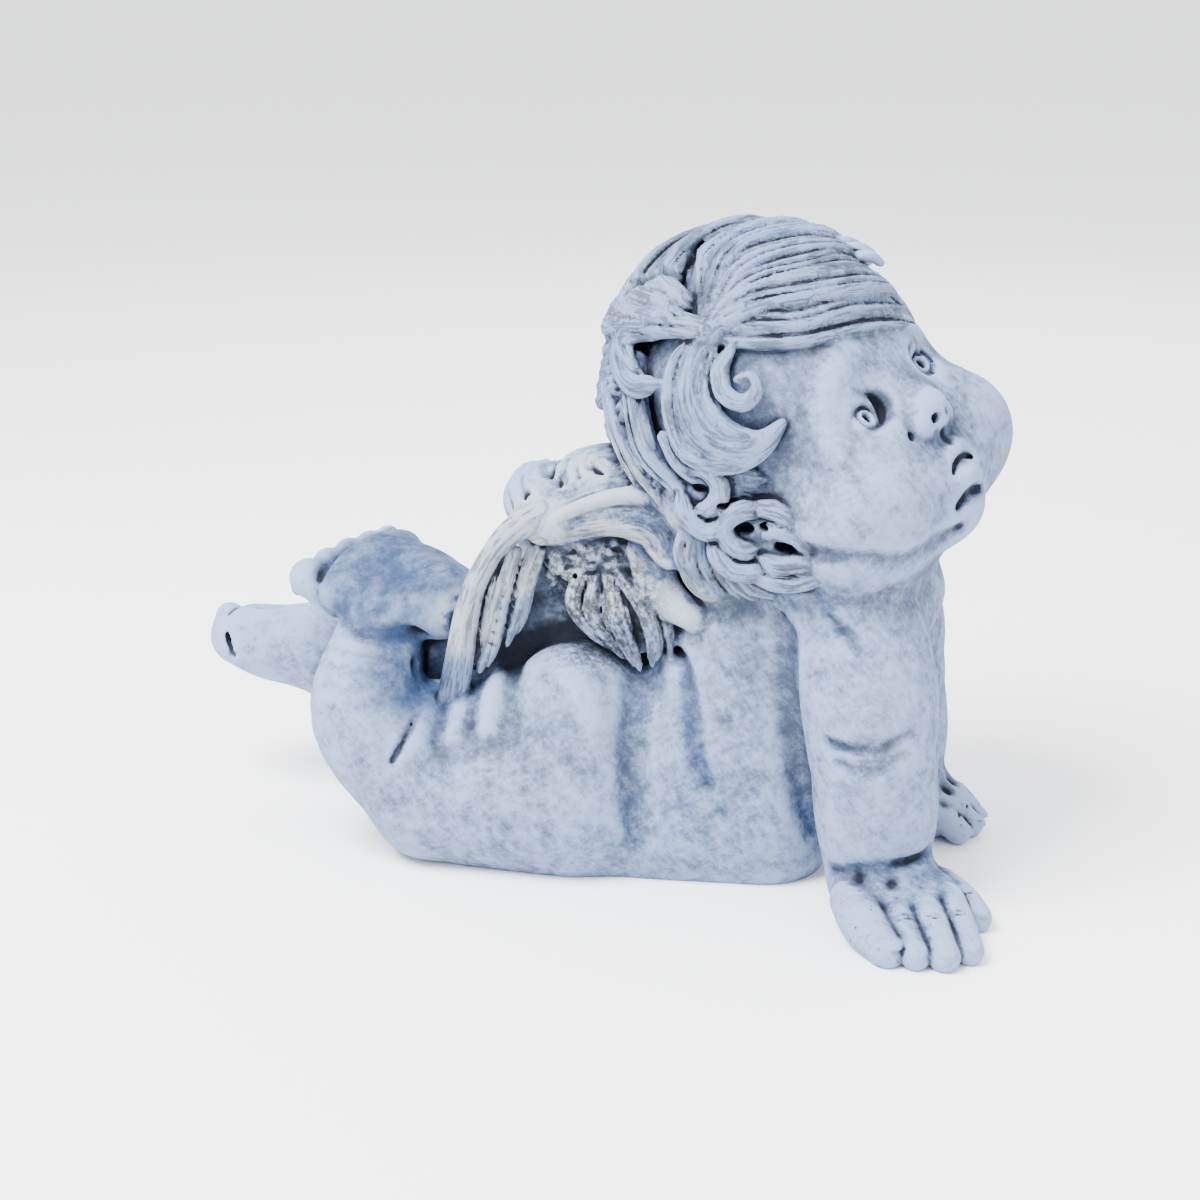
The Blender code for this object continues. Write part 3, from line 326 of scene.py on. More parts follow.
press_hand((38.6, -18.6, 3.0), (0.16, -0.987, 0), (0.987, 0.16, 0), NEAR_FINGERS, NEAR_THUMB)
press_hand((39.8, 9.6, 3.2), (0.99, -0.14, 0), (-0.14, -0.99, 0), FAR_FINGERS, FAR_THUMB)


# The folds and dimples of the body and arms: soft troughs first, then a sharper line along the bottom
# of each, as a thumb and then a tool leave them. Those of the right side are repeated on the left.
FOLDS = (
    (((6.2, -5.0, 27.0), (6.5, -9.0, 26.0), (6.2, -12.0, 18.8), (6.5, -13.8, 12.2), (7.0, -14.6, 6.4)),
     0.95, 2.6, 0.28),
    (((10.6, -6.5, 28.8), (11.9, -10.2, 26.6), (13.0, -11.6, 19.9), (14.9, -12.9, 13.4)), 0.6, 2.2, 0.12),
    (((23.8, -14.2, 36.5), (24.3, -15.1, 33.0), (24.8, -14.3, 25.1), (26.6, -12.4, 13.4),
      (28.2, -11.4, 7.5)), 1.0, 2.4, 0.45),
    (((26.4, -14.9, 39.0), (29.5, -17.4, 37.0), (33.1, -19.4, 33.6)), 0.35, 1.6, 0.12),
    (((30.0, -20.2, 22.6), (34.8, -21.8, 22.2), (39.4, -20.0, 24.2)), 0.45, 1.5, 0.22),
    (((30.6, -20.6, 20.4), (34.9, -21.8, 19.8), (38.9, -20.5, 21.6)), 0.4, 1.3, 0.2),
    (((30.6, -18.6, 6.0), (33.4, -20.8, 7.0), (37.0, -21.4, 8.0), (42.3, -16.8, 8.4)), 0.3, 1.6, 0.0),
)
for side in (-1, 1):
    for points, thick, blend, sharp in FOLDS:
        line = [(x, -side * y, z) for x, y, z in points]
        ends = [thick * 0.5] + [thick] * (len(line) - 2) + [thick * 0.4]
        clay.limb(line, ends, blend=blend, carve=True)
        if sharp:
            furrow(line, np.array(ends) / thick * sharp, 0.5)
    clay.limb([(-2.6, side * 10.0, 25.9), (-0.2, side * 11.6, 23.6), (1.2, side * 12.6, 20.0),
               (1.2, side * 13.2, 15.6)], [1.2, 1.5, 1.4, 0.8], blend=1.8)
clay.ball((40.5, 0.0, 30.5), (0.9, 0.9, 3.0), blend=1.6, carve=True)


# The head: a big round skull tipped back and turned to the figure's right, with a plain baby's face on
# it, set a little askew under the hair. Eyes are open, with a ring cut round a drilled pupil, and the
# lips parted.
HEAD_CENTRE = np.array((22.9, 0.0, 57.0))


def turned(turn, tip, lean):
    """Axes of a part that looks along +X: turned to its right, tipped back, then leaning to its right."""
    matrix = (Matrix.Rotation(np.radians(-turn), 3, "Z") @ Matrix.Rotation(np.radians(-tip), 3, "Y")
              @ Matrix.Rotation(np.radians(lean), 3, "X"))
    return np.array(matrix)


HEAD_AXES = turned(28.0, 38.0, 8.0)
FACE_AXES = turned(38.0, 50.0, 15.0)
FACE_SHIFT = np.array((-3.6, -0.5, -2.0))


def on_head(face, left, crown):
    """The place of a point given from the head's middle: towards the face, the left ear and the crown."""
    return HEAD_CENTRE + HEAD_AXES @ np.array((face, left, crown), float)


def head_line(points):
    return [on_head(*point) for point in points]


def on_face(face, left, crown):
    """The same, given along the axes of the face."""
    return HEAD_CENTRE + FACE_AXES @ (np.array((face, left, crown), float) + FACE_SHIFT)


def face_line(points):
    return [on_face(*point) for point in points]


def from_head(place):
    """The way out of the skull at a place."""
    out = place - HEAD_CENTRE
    return out / np.linalg.norm(out)


clay.ball(on_head(-1, 0, 2.4), (17.8, 17.2, 17.8), HEAD_AXES, blend=2)
clay.ball(on_head(-4.5, -4, -9.5), (11.5, 12.6, 12.0), HEAD_AXES, blend=2.5)
FACE_FORMS = (
    ((6.5, 0, -7.5), (11.6, 13.4, 13.0), 5),
    ((3.5, 0, -16.8), (10.4, 10.2, 6.0), 3.5),
    ((0.5, -6.5, -12.8), (10.5, 10.0, 9.6), 4),
    ((11.6, -0.6, -17.0), (4.0, 5.4, 4.2), 3),
    ((9.8, -0.8, -21.2), (3.3, 4.0, 2.6), 3),
    ((7.8, -8.9, -14.2), (7.9, 7.8, 7.4), 4.5),
    ((10.0, 9.4, -13.2), (7.9, 7.6, 7.6), 4.5),
)
for middle, radii, blend in FACE_FORMS:
    clay.ball(on_face(*middle), radii, FACE_AXES, blend=blend)
EYES = ((-1, 7.9, -7.5, -0.2), (1, 6.1, -6.1, 0.9))
for side, aside, level, bulge in EYES:
    def on_eye(face, out, up, side=side, aside=aside, level=level):
        return on_face(face, side * (aside + out), level + up)

    def eye_line(points, on_eye=on_eye):
        return [on_eye(*point) for point in points]

    clay.limb(face_line([(18.0, side * 5.0, -0.4), (16.6, side * 8.6, -1.8), (14.0, side * 11.0, -4.8),
                         (12.8, side * 12.2, -8.2)]), [0.9, 1.2, 1.1, 0.6], blend=2.6)
    clay.ball(on_eye(17.0 + bulge, -1.1, 0.2), (2.2, 2.5, 2.0), FACE_AXES, blend=1.3, carve=True)
    clay.ball(on_eye(13.8 + bulge, -0.2, 0.1), (2.75, 3.3, 2.6), FACE_AXES, blend=0.2)
    clay.limb(eye_line([(14.2, -3.4, -1.2), (16.4 + bulge, -1.4, 1.9), (15.9 + bulge, 0.8, 2.4),
                        (14.4, 2.8, 1.0), (13.2, 4.4, -1.0)]), [0.4, 0.8, 1.0, 0.85, 0.45], blend=0.4)
    clay.limb(eye_line([(14.2, -3.2, -1.6), (15.5 + bulge, -0.6, -2.4), (14.8 + bulge, 2.2, -2.2),
                        (13.4, 4.2, -1.2)]), [0.35, 0.5, 0.55, 0.4], blend=0.45)
    furrow(eye_line([(16.0, -2.6, 2.8), (16.4, 0.6, 3.7), (14.4, 3.6, 2.2)]), [0.2, 0.35, 0.2], 0.8)
    furrow(eye_line([(14.6, -1.6, -3.8), (13.8, 2.0, -4.2), (12.4, 4.6, -2.8)]), [0.2, 0.45, 0.2], 1.4)
    ring = np.linspace(0, 2 * np.pi, 13)
    for wide in (1.35, 2.05)[:1 if side < 0 else 2]:
        furrow(eye_line([(16.45 + bulge - wide * 0.2, -0.3 + wide * np.cos(t),
                          wide * np.sin(t)) for t in ring]), [0.22] * 13, 0.15, 3)
    furrow(eye_line([(17.4 + bulge, -0.4, 0.1), (15.2 + bulge, -0.3, 0.0)]), [0.8, 0.65], 0.12)
clay.limb(face_line([(13.8, 0, -2.8), (15.6, -0.3, -7.2), (17.6, -1.1, -11.0)]), [1.5, 1.7, 2.7], blend=1.8)
for aside in (-3.3, 1.3):
    clay.ball(on_face(16.8, aside, -12.0), (1.9, 1.5, 1.6), FACE_AXES, blend=0.6)
for nostril, reach in ((-2.4, 0.6), (-0.5, 1.0)):
    furrow(face_line([(19.6 + reach, nostril, -13.4), (17.0 + reach, nostril, -12.0)]), [0.75, 0.5], 0.25)
for side in (-1, 1):
    furrow(face_line([(16.0, side * 3.8 - 1.1, -10.6), (16.4, side * 4.0 - 1.1, -12.2)]), [0.15, 0.25], 0.8)
    furrow(face_line([(15.0, side * 4.6 - 0.8, -12.8), (14.1, side * 5.8 - 0.7, -15.8),
                      (12.6, side * 5.6 - 0.7, -19.0)]), [0.3, 0.5, 0.3], 2.0)
clay.limb(face_line([(13.4, -4.6, -18.0), (15.0, -2.8, -16.6), (16.0, -0.8, -16.1), (15.4, 1.6, -16.3),
                     (13.6, 3.6, -17.8)]), [0.5, 0.9, 1.15, 0.9, 0.5], blend=0.6)
clay.limb(face_line([(13.9, -2.8, -19.4), (15.0, -0.7, -19.2), (14.2, 1.6, -19.4)]), [0.9, 1.3, 0.9],
          blend=0.6)
furrow(face_line([(13.9, -4.2, -19.2), (15.5, -2.5, -17.9), (16.3, -0.6, -17.5), (15.5, 1.4, -17.8),
                  (13.9, 3.2, -19.0)]), [0.25, 0.42, 0.45, 0.42, 0.25], 0.3)
furrow(face_line([(17.2, -0.9, -14.2), (17.0, -0.8, -15.4)]), [0.35, 0.45], 0.9)
furrow(face_line([(12.8, -3.4, -20.9), (13.8, -0.8, -21.0), (12.8, 1.8, -20.9)]), [0.3, 0.45, 0.3], 1.5)
furrow([(24.5, -17.5, 44.6), (29.2, -20.9, 44.7), (33.7, -21.3, 44.5), (38.1, -18.9, 43.8),
        (41.7, -14.9, 45.0), (43.6, -12.6, 46.2)], [0.5, 0.8, 0.9, 0.9, 0.8, 0.5], 2.2)
furrow([(24.5, -17.2, 44.6), (29.2, -20.2, 44.8), (33.7, -20.6, 44.7), (38.1, -18.1, 43.9),
        (41.7, -14.2, 45.2), (43.6, -12.0, 46.3)], [0.3, 0.4, 0.45, 0.45, 0.4, 0.3], 0.6)


# The hair: thick locks combed over the head from a point at the right temple, rolls on the crown, a
# looped lock and a combed crescent by the ear, and curls with drilled holes down the nape.
chance = np.random.default_rng(11)


def press_tress(points, wide, thick=1.5, wisps=3, groove=0.3, pitch=0.9, lift=0.12, blend=0.6, sink=0.0):
    """A combed lock with loose wisps laid along it and a cut between them."""
    points = np.array(head_line(points))
    points -= np.array([from_head(point) for point in points]) * sink
    along = np.gradient(points, axis=0)
    faces = np.array([from_head(point) for point in points])
    sides = np.cross(along, faces)
    sides /= np.linalg.norm(sides, axis=1)[:, None]
    narrow = np.array([0.75] + [1.0] * (len(points) - 2) + [0.5])
    clay.lock(points, wide * narrow, thick, from_head, blend=blend, strands=groove, pitch=pitch)
    for number in range(wisps):
        slip = ((number + 0.5) / wisps - 0.5) * 1.5 * wide
        sway = chance.uniform(-0.16, 0.16, len(points)) * wide
        out = thick * np.sqrt(max(0.1, 1 - (slip / wide) ** 2)) - 0.5 + lift + chance.uniform(-0.1, 0.15)
        line = points + sides * ((slip + sway) * narrow)[:, None] + faces * out
        clay.lock(line, wide / wisps * 0.9 * narrow, 0.7, from_head, blend=0.3, strands=0.18, pitch=0.7)
    for number in range(wisps - 1):
        slip = ((number + 1) / wisps - 0.5) * 1.5 * wide
        out = thick * np.sqrt(max(0.1, 1 - (slip / wide) ** 2)) + 0.15
        line = points + sides * (slip * narrow)[:, None] + faces * out
        furrow(line[1:], [0.2] * (len(line) - 1), 0.25)


HUB = (6.0, -14.2, 11.4)
TOP_LOCKS = (
    ((HUB, (8.9, -13.7, 8.9), (13.2, -10.8, 5.4), (16.2, -4.0, 3.0), (16.6, 2.4, 0.8), (15.0, 8.0, -0.6)),
     1.6, 2),
    ((HUB, (10.4, -12.2, 9.5), (13.8, -9.4, 7.0), (16.2, -4.6, 5.4), (16.6, 1.4, 3.6), (15.2, 8.0, 2.0)),
     2.0, 3),
    ((HUB, (10.7, -10.7, 11.2), (14.4, -6.4, 8.8), (16.6, -1.6, 6.8), (16.0, 4.0, 5.4), (13.6, 9.4, 4.0)),
     2.4, 3),
    ((HUB, (10.6, -9.0, 12.8), (14.6, -3.2, 10.8), (15.6, 1.4, 9.2), (13.4, 8.4, 7.0)), 2.3, 3),
    ((HUB, (9.3, -7.4, 15.0), (12.6, -1.3, 13.9), (14.2, 3.6, 11.6), (12.6, 9.6, 8.8)), 2.4, 3),
    ((HUB, (7.4, -5.9, 17.2), (10.0, 1.0, 17.0), (12.6, 6.0, 14.0), (11.0, 11.4, 10.6)), 2.4, 3),
    ((HUB, (5.0, -5.6, 18.6), (7.2, 1.6, 19.2), (10.2, 6.6, 16.6), (8.6, 12.6, 12.0)), 2.3, 3),
)
CROWN_ROLLS = (
    (((3.6, -12.4, 15.2), (0.8, -8.4, 18.8), (1.4, -0.6, 20.6), (4.6, 5.0, 19.4), (6.0, 11.0, 15.0)), 2.7,
     2),
    (((2.6, -13.4, 14.6), (-2.6, -9.0, 18.8), (-2.6, -1.0, 21.2), (0.8, 6.0, 20.2), (2.0, 12.0, 16.4)), 2.6,
     2),
    (((0.4, -13.0, 15.6), (-6.4, -8.8, 18.6), (-8.2, -1.0, 19.8), (-5.0, 7.0, 18.8), (-3.0, 12.4, 15.0)),
     3.0, 2),
    (((-5.6, -12.6, 16.2), (-10.6, -8.0, 17.2), (-12.8, 0.0, 16.8), (-9.6, 8.0, 16.4)), 3.0, 3),
    (((-7.6, -14.4, 13.4), (-13.6, -9.2, 14.2), (-16.2, -1.0, 13.0), (-14.0, 8.0, 12.0)), 3.0, 3),
    (((-7.0, -16.0, 10.4), (-14.2, -11.0, 10.0), (-18.0, -2.0, 8.6), (-16.8, 8.0, 7.0)), 3.0, 3),
    (((-7.4, -17.0, 6.6), (-14.6, -12.0, 5.2), (-18.8, -3.0, 4.2), (-17.6, 7.0, 2.4)), 3.0, 3),
    (((-7.4, -17.6, 2.6), (-14.2, -12.8, 0.4), (-18.6, -4.0, -0.6), (-17.4, 6.0, -2.4)), 3.0, 3),
    (((-7.0, -17.4, -1.4), (-13.0, -13.0, -4.2), (-17.4, -5.0, -5.4), (-16.4, 5.0, -7.0)), 2.8, 3),
    (((-4.6, -14.0, 14.0), (-6.0, -16.8, 9.6), (-7.2, -18.2, 4.6), (-6.4, -18.2, -0.6)), 1.7, 2),
    (((-9.6, -13.6, 13.4), (-10.6, -15.8, 8.6), (-11.0, -16.4, 3.0), (-10.2, -15.8, -3.0)), 1.9, 2),
)
FAR_LOCKS = (
    (((9.6, 13.6, 8.4), (9.2, 16.0, 3.0), (8.2, 16.4, -2.6), (9.6, 14.8, -6.6)), 2.3, 3),
    (((7.4, 14.6, 10.6), (5.0, 17.6, 4.4), (3.6, 18.0, -1.8), (5.6, 16.6, -6.6)), 2.6, 3),
    (((4.6, 14.8, 12.8), (0.8, 18.2, 5.8), (-1.0, 18.6, -1.2), (0.8, 17.0, -8.0)), 2.8, 3),
    (((-0.6, 14.0, 15.2), (-4.2, 17.8, 6.4), (-6.0, 17.8, -0.6), (-5.0, 15.6, -8.6)), 2.8, 3),
    (((-5.6, 13.0, 14.8), (-9.4, 16.0, 6.4), (-11.0, 15.6, -0.6), (-10.4, 12.8, -9.0)), 2.8, 3),
    (((-12.0, 10.6, 11.0), (-14.0, 12.2, 3.4), (-14.8, 11.4, -3.6), (-13.4, 8.8, -11.4)), 2.8, 3),
    (((-15.6, 7.4, 5.0), (-16.6, 7.0, -1.0), (-16.0, 5.6, -7.6), (-14.2, 4.4, -13.0)), 2.6, 3),
)
for number, (points, wide, wisps) in enumerate(CROWN_ROLLS + FAR_LOCKS):
    raised = (-0.8, -1.1, -0.9)[number] if number < 3 else 0.0
    press_tress(points, wide, 1.3 - raised * 0.6, wisps, sink=raised)
for number, (points, wide, wisps) in enumerate(TOP_LOCKS):
    press_tress(points, wide, (0.8, 1.0, 1.3)[min(number, 2)], wisps, sink=(0.5, 0.3, 0.0)[min(number, 2)])

EDGE_CUT = ((3.9, -12.2, 15.6), (4.0, -7.0, 19.4), (3.2, 0.2, 21.4), (6.2, 4.6, 20.4), (8.4, 8.6, 17.8))
furrow(head_line(EDGE_CUT), [0.35, 0.5, 0.5, 0.4, 0.25], 0.7)
for spoon in (((-1.6, -9.4, 19.6), (2.4, 1.5, 3.2)), ((1.8, -9.2, 19.0), (1.6, 1.2, 2.6))):
    clay.ball(on_head(*spoon[0]), spoon[1], HEAD_AXES, blend=0.9, carve=True)

CRESCENT_OUT = np.array(((5.3, -14.4, 11.5), (1.8, -16.4, 11.2), (-1.2, -18.2, 7.6), (-2.4, -19.2, 2.6),
                         (-1.1, -19.2, -0.3), (1.6, -18.4, -2.8), (4.8, -17.4, -3.2), (8.0, -15.7, -2.0)))
CRESCENT_IN = np.array(((6.3, -14.8, 10.5), (5.8, -15.6, 9.1), (4.5, -17.2, 7.0), (3.5, -18.2, 4.4),
                        (3.9, -18.4, 1.4), (5.2, -17.6, -0.9), (6.6, -16.9, -1.6), (8.2, -15.6, -1.5)))
clay.lock(head_line((CRESCENT_OUT + CRESCENT_IN) / 2), [1.2, 1.8, 2.4, 2.8, 2.8, 2.0, 1.4, 0.6], 0.9,
          from_head, blend=0.8)
for number, share in enumerate(np.linspace(0, 1, 9)):
    line = head_line(CRESCENT_OUT * (1 - share) + CRESCENT_IN * share)
    swell = 0.45 if number in (0, 8) else 0.0
    line = [place + from_head(place) * (0.2 * np.sin(number * 2.1) + swell - 0.35) for place in line]
    clay.lock(line, [0.5, 0.65, 0.8, 0.95, 0.95, 0.75, 0.6, 0.35], 1.4, from_head, blend=0.3, strands=0.2,
              pitch=0.6)

CURL = ((8.0, -14.4, 8.7), (6.2, -16.6, 7.1), (5.6, -17.8, 4.7), (6.7, -17.6, 2.6), (8.3, -16.6, 2.8),
        (8.7, -16.3, 4.4), (7.6, -16.9, 5.0))
clay.lock(head_line(CURL), [0.6, 1.05, 1.2, 1.1, 0.9, 0.75, 0.7], 1.1, from_head, blend=0.2, strands=0.25,
          pitch=0.8)
furrow(head_line([(4.9, -17.6, 7.4), (4.4, -18.2, 4.6), (5.4, -18.0, 1.6), (7.6, -16.9, 0.6)]),
       [0.25, 0.4, 0.4, 0.3], 0.3)
clay.ball(on_head(8.0, -17.3, 3.9), (0.55, 0.9, 0.55), HEAD_AXES, blend=0.2, carve=True)

RIBBON = ((5.9, -14.9, 12.2), (2.6, -14.6, 14.8), (-2.0, -13.0, 17.3), (-5.2, -13.0, 17.0),
          (-5.4, -15.4, 14.2), (-3.8, -17.6, 11.4), (-1.0, -18.2, 10.1))
clay.lock(head_line(RIBBON), [1.2, 2.1, 2.6, 2.5, 2.2, 1.6, 0.8], 1.3, from_head, blend=0.4, strands=0.25,
          pitch=1.2)
furrow(head_line([(3.2, -15.6, 12.6), (0.4, -16.0, 13.6), (-1.8, -16.4, 13.6), (-2.6, -17.2, 12.4)]),
       [0.2, 0.7, 0.9, 0.6], 0.4)
furrow(head_line([(-6.4, -16.8, 10.6), (-8.3, -17.4, 8.0), (-9.8, -17.2, 5.0)]), [0.2, 0.35, 0.2], 0.5)
for points in (((12.4, 4.6, 13.4), (14.4, 6.6, 12.2), (14.6, 8.8, 11.2)),
               ((13.6, 4.2, 12.0), (15.8, 6.2, 10.6), (15.8, 8.4, 9.2)),
               ((14.4, 3.8, 10.4), (16.4, 6.2, 9.0), (15.9, 8.6, 7.6)),
               ((12.0, 7.2, 12.6), (13.6, 9.6, 10.8), (13.2, 11.2, 8.8))):
    clay.limb(head_line(points), [0.4, 0.7, 0.5], blend=0.4)
for number in range(9):
    start = np.array((15.2, -1.0 + number * 0.9, 7.0 - number * 0.5))
    furrow(head_line([start, start + (1.4, 2.2, -1.6), start + (1.0, 5.2, -3.2)]), [0.16, 0.22, 0.12], 0.4)


def out_right(place):
    """The way out of the figure's right side."""
    return np.array((0.1, -0.98, 0.15))


NAPE_CURLS = (
    ((12.6, -15.8, 53.0), (15.2, -16.6, 53.1), (16.7, -16.9, 51.2), (15.9, -16.9, 48.9),
     (13.4, -16.5, 48.0)),
    ((11.9, -15.4, 50.4), (12.9, -16.4, 47.6), (15.2, -16.9, 46.0), (17.3, -16.9, 46.9),
     (18.4, -16.3, 48.6)),
    ((21.9, -16.4, 48.2), (19.5, -17.2, 48.7), (17.6, -17.2, 47.3), (17.7, -17.0, 45.1),
     (19.6, -17.0, 43.9), (21.6, -16.6, 44.5)),
    ((15.9, -15.8, 45.4), (16.6, -17.0, 43.2), (18.4, -17.5, 41.7), (20.8, -17.3, 41.6),
     (22.8, -16.6, 42.9)),
    ((19.8, -16.4, 48.8), (22.6, -17.6, 49.0), (25.2, -17.9, 48.0), (27.2, -17.5, 46.2),
     (27.4, -16.8, 44.6)),
    ((21.6, -16.8, 45.6), (23.2, -17.7, 46.7), (25.4, -17.9, 46.2), (27.0, -17.5, 44.9),
     (28.6, -16.9, 44.4)),
    ((20.6, -16.6, 43.4), (23.4, -17.8, 42.7), (25.9, -18.0, 43.0), (28.3, -17.4, 43.2),
     (30.0, -16.6, 42.6)),
    ((19.4, -16.2, 41.9), (22.3, -17.6, 40.9), (25.0, -18.0, 40.7), (27.6, -17.8, 41.5),
     (29.6, -16.8, 42.5)),
)
FAN = (
    ((12.5, -13.8, 44.9), (12.0, -13.6, 42.0), (13.5, -12.8, 38.0)),
    ((13.6, -14.2, 44.6), (13.4, -14.0, 41.6), (14.9, -13.2, 37.8)),
    ((14.7, -14.6, 44.3), (15.0, -14.4, 41.4), (16.7, -13.6, 37.7)),
    ((15.9, -14.8, 44.1), (16.7, -14.6, 41.0), (18.6, -14.0, 37.6)),
    ((17.2, -15.0, 41.8), (18.6, -14.8, 39.5), (20.8, -14.6, 37.6)),
    ((18.8, -15.2, 40.7), (20.7, -15.2, 39.1), (23.2, -15.0, 38.2)),
)
BRIDGE = (
    ((9.9, -14.6, 56.2), (11.8, -15.2, 53.2), (14.8, -15.6, 51.4), (18.8, -15.8, 50.4),
     (23.0, -15.6, 49.2)),
    ((10.9, -14.8, 56.4), (13.0, -15.5, 53.8), (16.0, -15.8, 52.3), (19.8, -16.0, 51.4),
     (24.0, -15.6, 50.4)),
    ((11.6, -14.9, 57.4), (14.0, -15.8, 55.0), (17.0, -16.2, 53.4), (20.4, -16.2, 52.4),
     (23.6, -15.8, 51.8)),
)
clay.ball((15.5, -10.5, 48.0), (6.0, 5.2, 6.5), blend=2)
clay.ball((22.0, -11.5, 45.5), (6.5, 5.2, 4.5), blend=2)
clay.ball((15.5, -10.0, 41.0), (4.5, 4.6, 5.5), blend=2)
for points in FAN:
    clay.lock(points, [1.1, 1.15, 0.6], 1.2, out_right, blend=0.3, strands=0.25, pitch=0.7)
for points in BRIDGE:
    clay.lock(points, [0.8, 1.0, 1.0, 0.9, 0.4], 1.1, out_right, blend=0.3, strands=0.25, pitch=0.7)
for points in NAPE_CURLS:
    clay.lock(points, [0.5] + [1.35] * (len(points) - 2) + [0.35], 1.4, out_right, blend=0.25, strands=0.2,
              pitch=0.8)
for hole, wide in (((14.2, -16.8, 50.6), 0.8), ((19.5, -17.2, 46.4), 0.85), ((24.2, -17.6, 44.7), 0.9),
                   ((17.0, -16.6, 49.2), 0.5), ((21.9, -16.6, 46.9), 0.5)):
    clay.ball(hole, (wide * 1.4, 2.6, wide * 0.85), blend=0.3, carve=True)
HANGING = (
    (((-10.0, -15.4, -3.0), (-11.8, -13.0, -6.6), (-12.8, -10.0, -10.0)), 1.7, 2),
    (((-13.6, -12.0, -4.0), (-15.6, -7.0, -10.0), (-16.0, -4.0, -15.0)), 2.3, 3),
    (((-15.0, -9.0, -6.0), (-15.0, -5.6, -13.0), (-14.2, -4.0, -19.0)), 2.2, 3),
    (((-16.0, -4.0, -4.0), (-16.6, 1.0, -9.0), (-15.6, 4.0, -14.0)), 2.5, 3),
    (((-15.0, 1.0, -9.0), (-14.6, 4.6, -14.0), (-12.6, 7.0, -18.0)), 2.3, 3),
    (((-8.0, 14.6, -5.0), (-8.6, 12.6, -11.0), (-9.4, 11.0, -16.0)), 2.3, 3),
    (((-2.0, 16.4, -5.0), (-3.4, 13.6, -11.0), (-5.4, 11.4, -16.0)), 2.3, 3),
)
for points, wide, wisps in HANGING:
    press_tress(points, wide, 1.6, wisps)


# The wings: small and arched, a thick rolled edge on top, long outer feathers hanging behind it and a
# bundle of short ones inside, with the web of the cast between the two and lumps of down where they
# meet.
OUTER_FEATHER = ((-5.6, 8.0, 44.6), (-8.4, 8.6, 43.0), (-11.2, 8.9, 40.1), (-13.4, 9.2, 36.2),
                 (-14.8, 9.3, 31.5), (-15.7, 9.2, 26.4), (-16.6, 9.0, 21.9), (-17.2, 8.8, 19.0))
BEHIND_FEATHERS = (
    (((-6.6, 6.6, 39.6), (-7.8, 7.2, 35.6), (-8.8, 7.2, 31.5), (-10.2, 7.0, 27.6)), 1.3),
    (((-9.6, 7.6, 39.6), (-10.8, 8.0, 35.1), (-11.8, 8.0, 30.7), (-12.5, 7.9, 27.6), (-13.5, 7.8, 24.4)),
     1.75),
)
NOTCHES = ((-8.9, 36.6), (-9.3, 35.1), (-9.8, 33.6), (-10.2, 32.1), (-10.7, 30.6), (-11.2, 29.1),
           (-11.8, 27.7))
BUNDLE = (
    (((-1.2, 6.4, 37.0), (-1.8, 7.6, 33.4), (0.8, 8.0, 30.2), (3.9, 7.6, 28.0)), 1.3),
    (((7.2, 6.6, 36.6), (10.4, 7.4, 33.2), (11.4, 7.6, 30.0)), 1.1),
    (((0.8, 6.8, 36.6), (0.6, 8.2, 32.6), (3.2, 8.6, 29.4), (5.4, 8.2, 26.9)), 1.35),
    (((5.8, 7.0, 36.4), (9.0, 8.2, 32.4), (10.1, 8.2, 27.8)), 1.3),
    (((3.9, 7.2, 37.0), (6.9, 8.9, 33.6), (8.2, 9.0, 29.8), (7.9, 8.4, 26.6)), 1.3),
    (((2.6, 7.2, 36.6), (3.8, 9.1, 32.0), (6.3, 8.8, 26.2)), 1.6),
)
BAR = ((-6.0, 8.0, 41.8), (-2.4, 8.0, 43.8), (1.0, 8.1, 44.8), (4.7, 8.2, 45.2), (8.2, 8.3, 44.5),
       (9.9, 8.4, 42.4), (9.9, 8.6, 40.8))
BAR_RIM = ((-5.2, 8.8, 42.8), (-3.0, 9.6, 44.9), (0.3, 10.0, 46.6), (4.0, 10.2, 47.8), (8.0, 10.2, 47.9),
           (10.9, 10.2, 46.2), (12.0, 10.2, 43.8), (11.7, 10.2, 41.5), (10.0, 10.2, 40.1),
           (7.9, 10.0, 41.4))
SHOULDER_BAND = ((7.3, 7.4, 41.0), (8.2, 7.9, 37.0), (10.2, 8.6, 34.6), (12.8, 9.4, 33.0))
clay.ball((5, 0, 34), (9.5, 4.4, 11), blend=1.5)
clay.ball((-4, 0, 30), (10, 4.2, 10), blend=1.5)
clay.limb([(-2, 0, 41), (-9, 0, 35), (-13.5, 0, 26), (-13, 0, 19)], [4.2, 4.2, 3.6, 3.6], blend=1)
clay.ball((1.2, 0, 46.2), (7.2, 6.8, 5.1), blend=1.5)
clay.ball((-7.0, 0.5, 44.2), (5.0, 6.8, 4.5), blend=1.4)


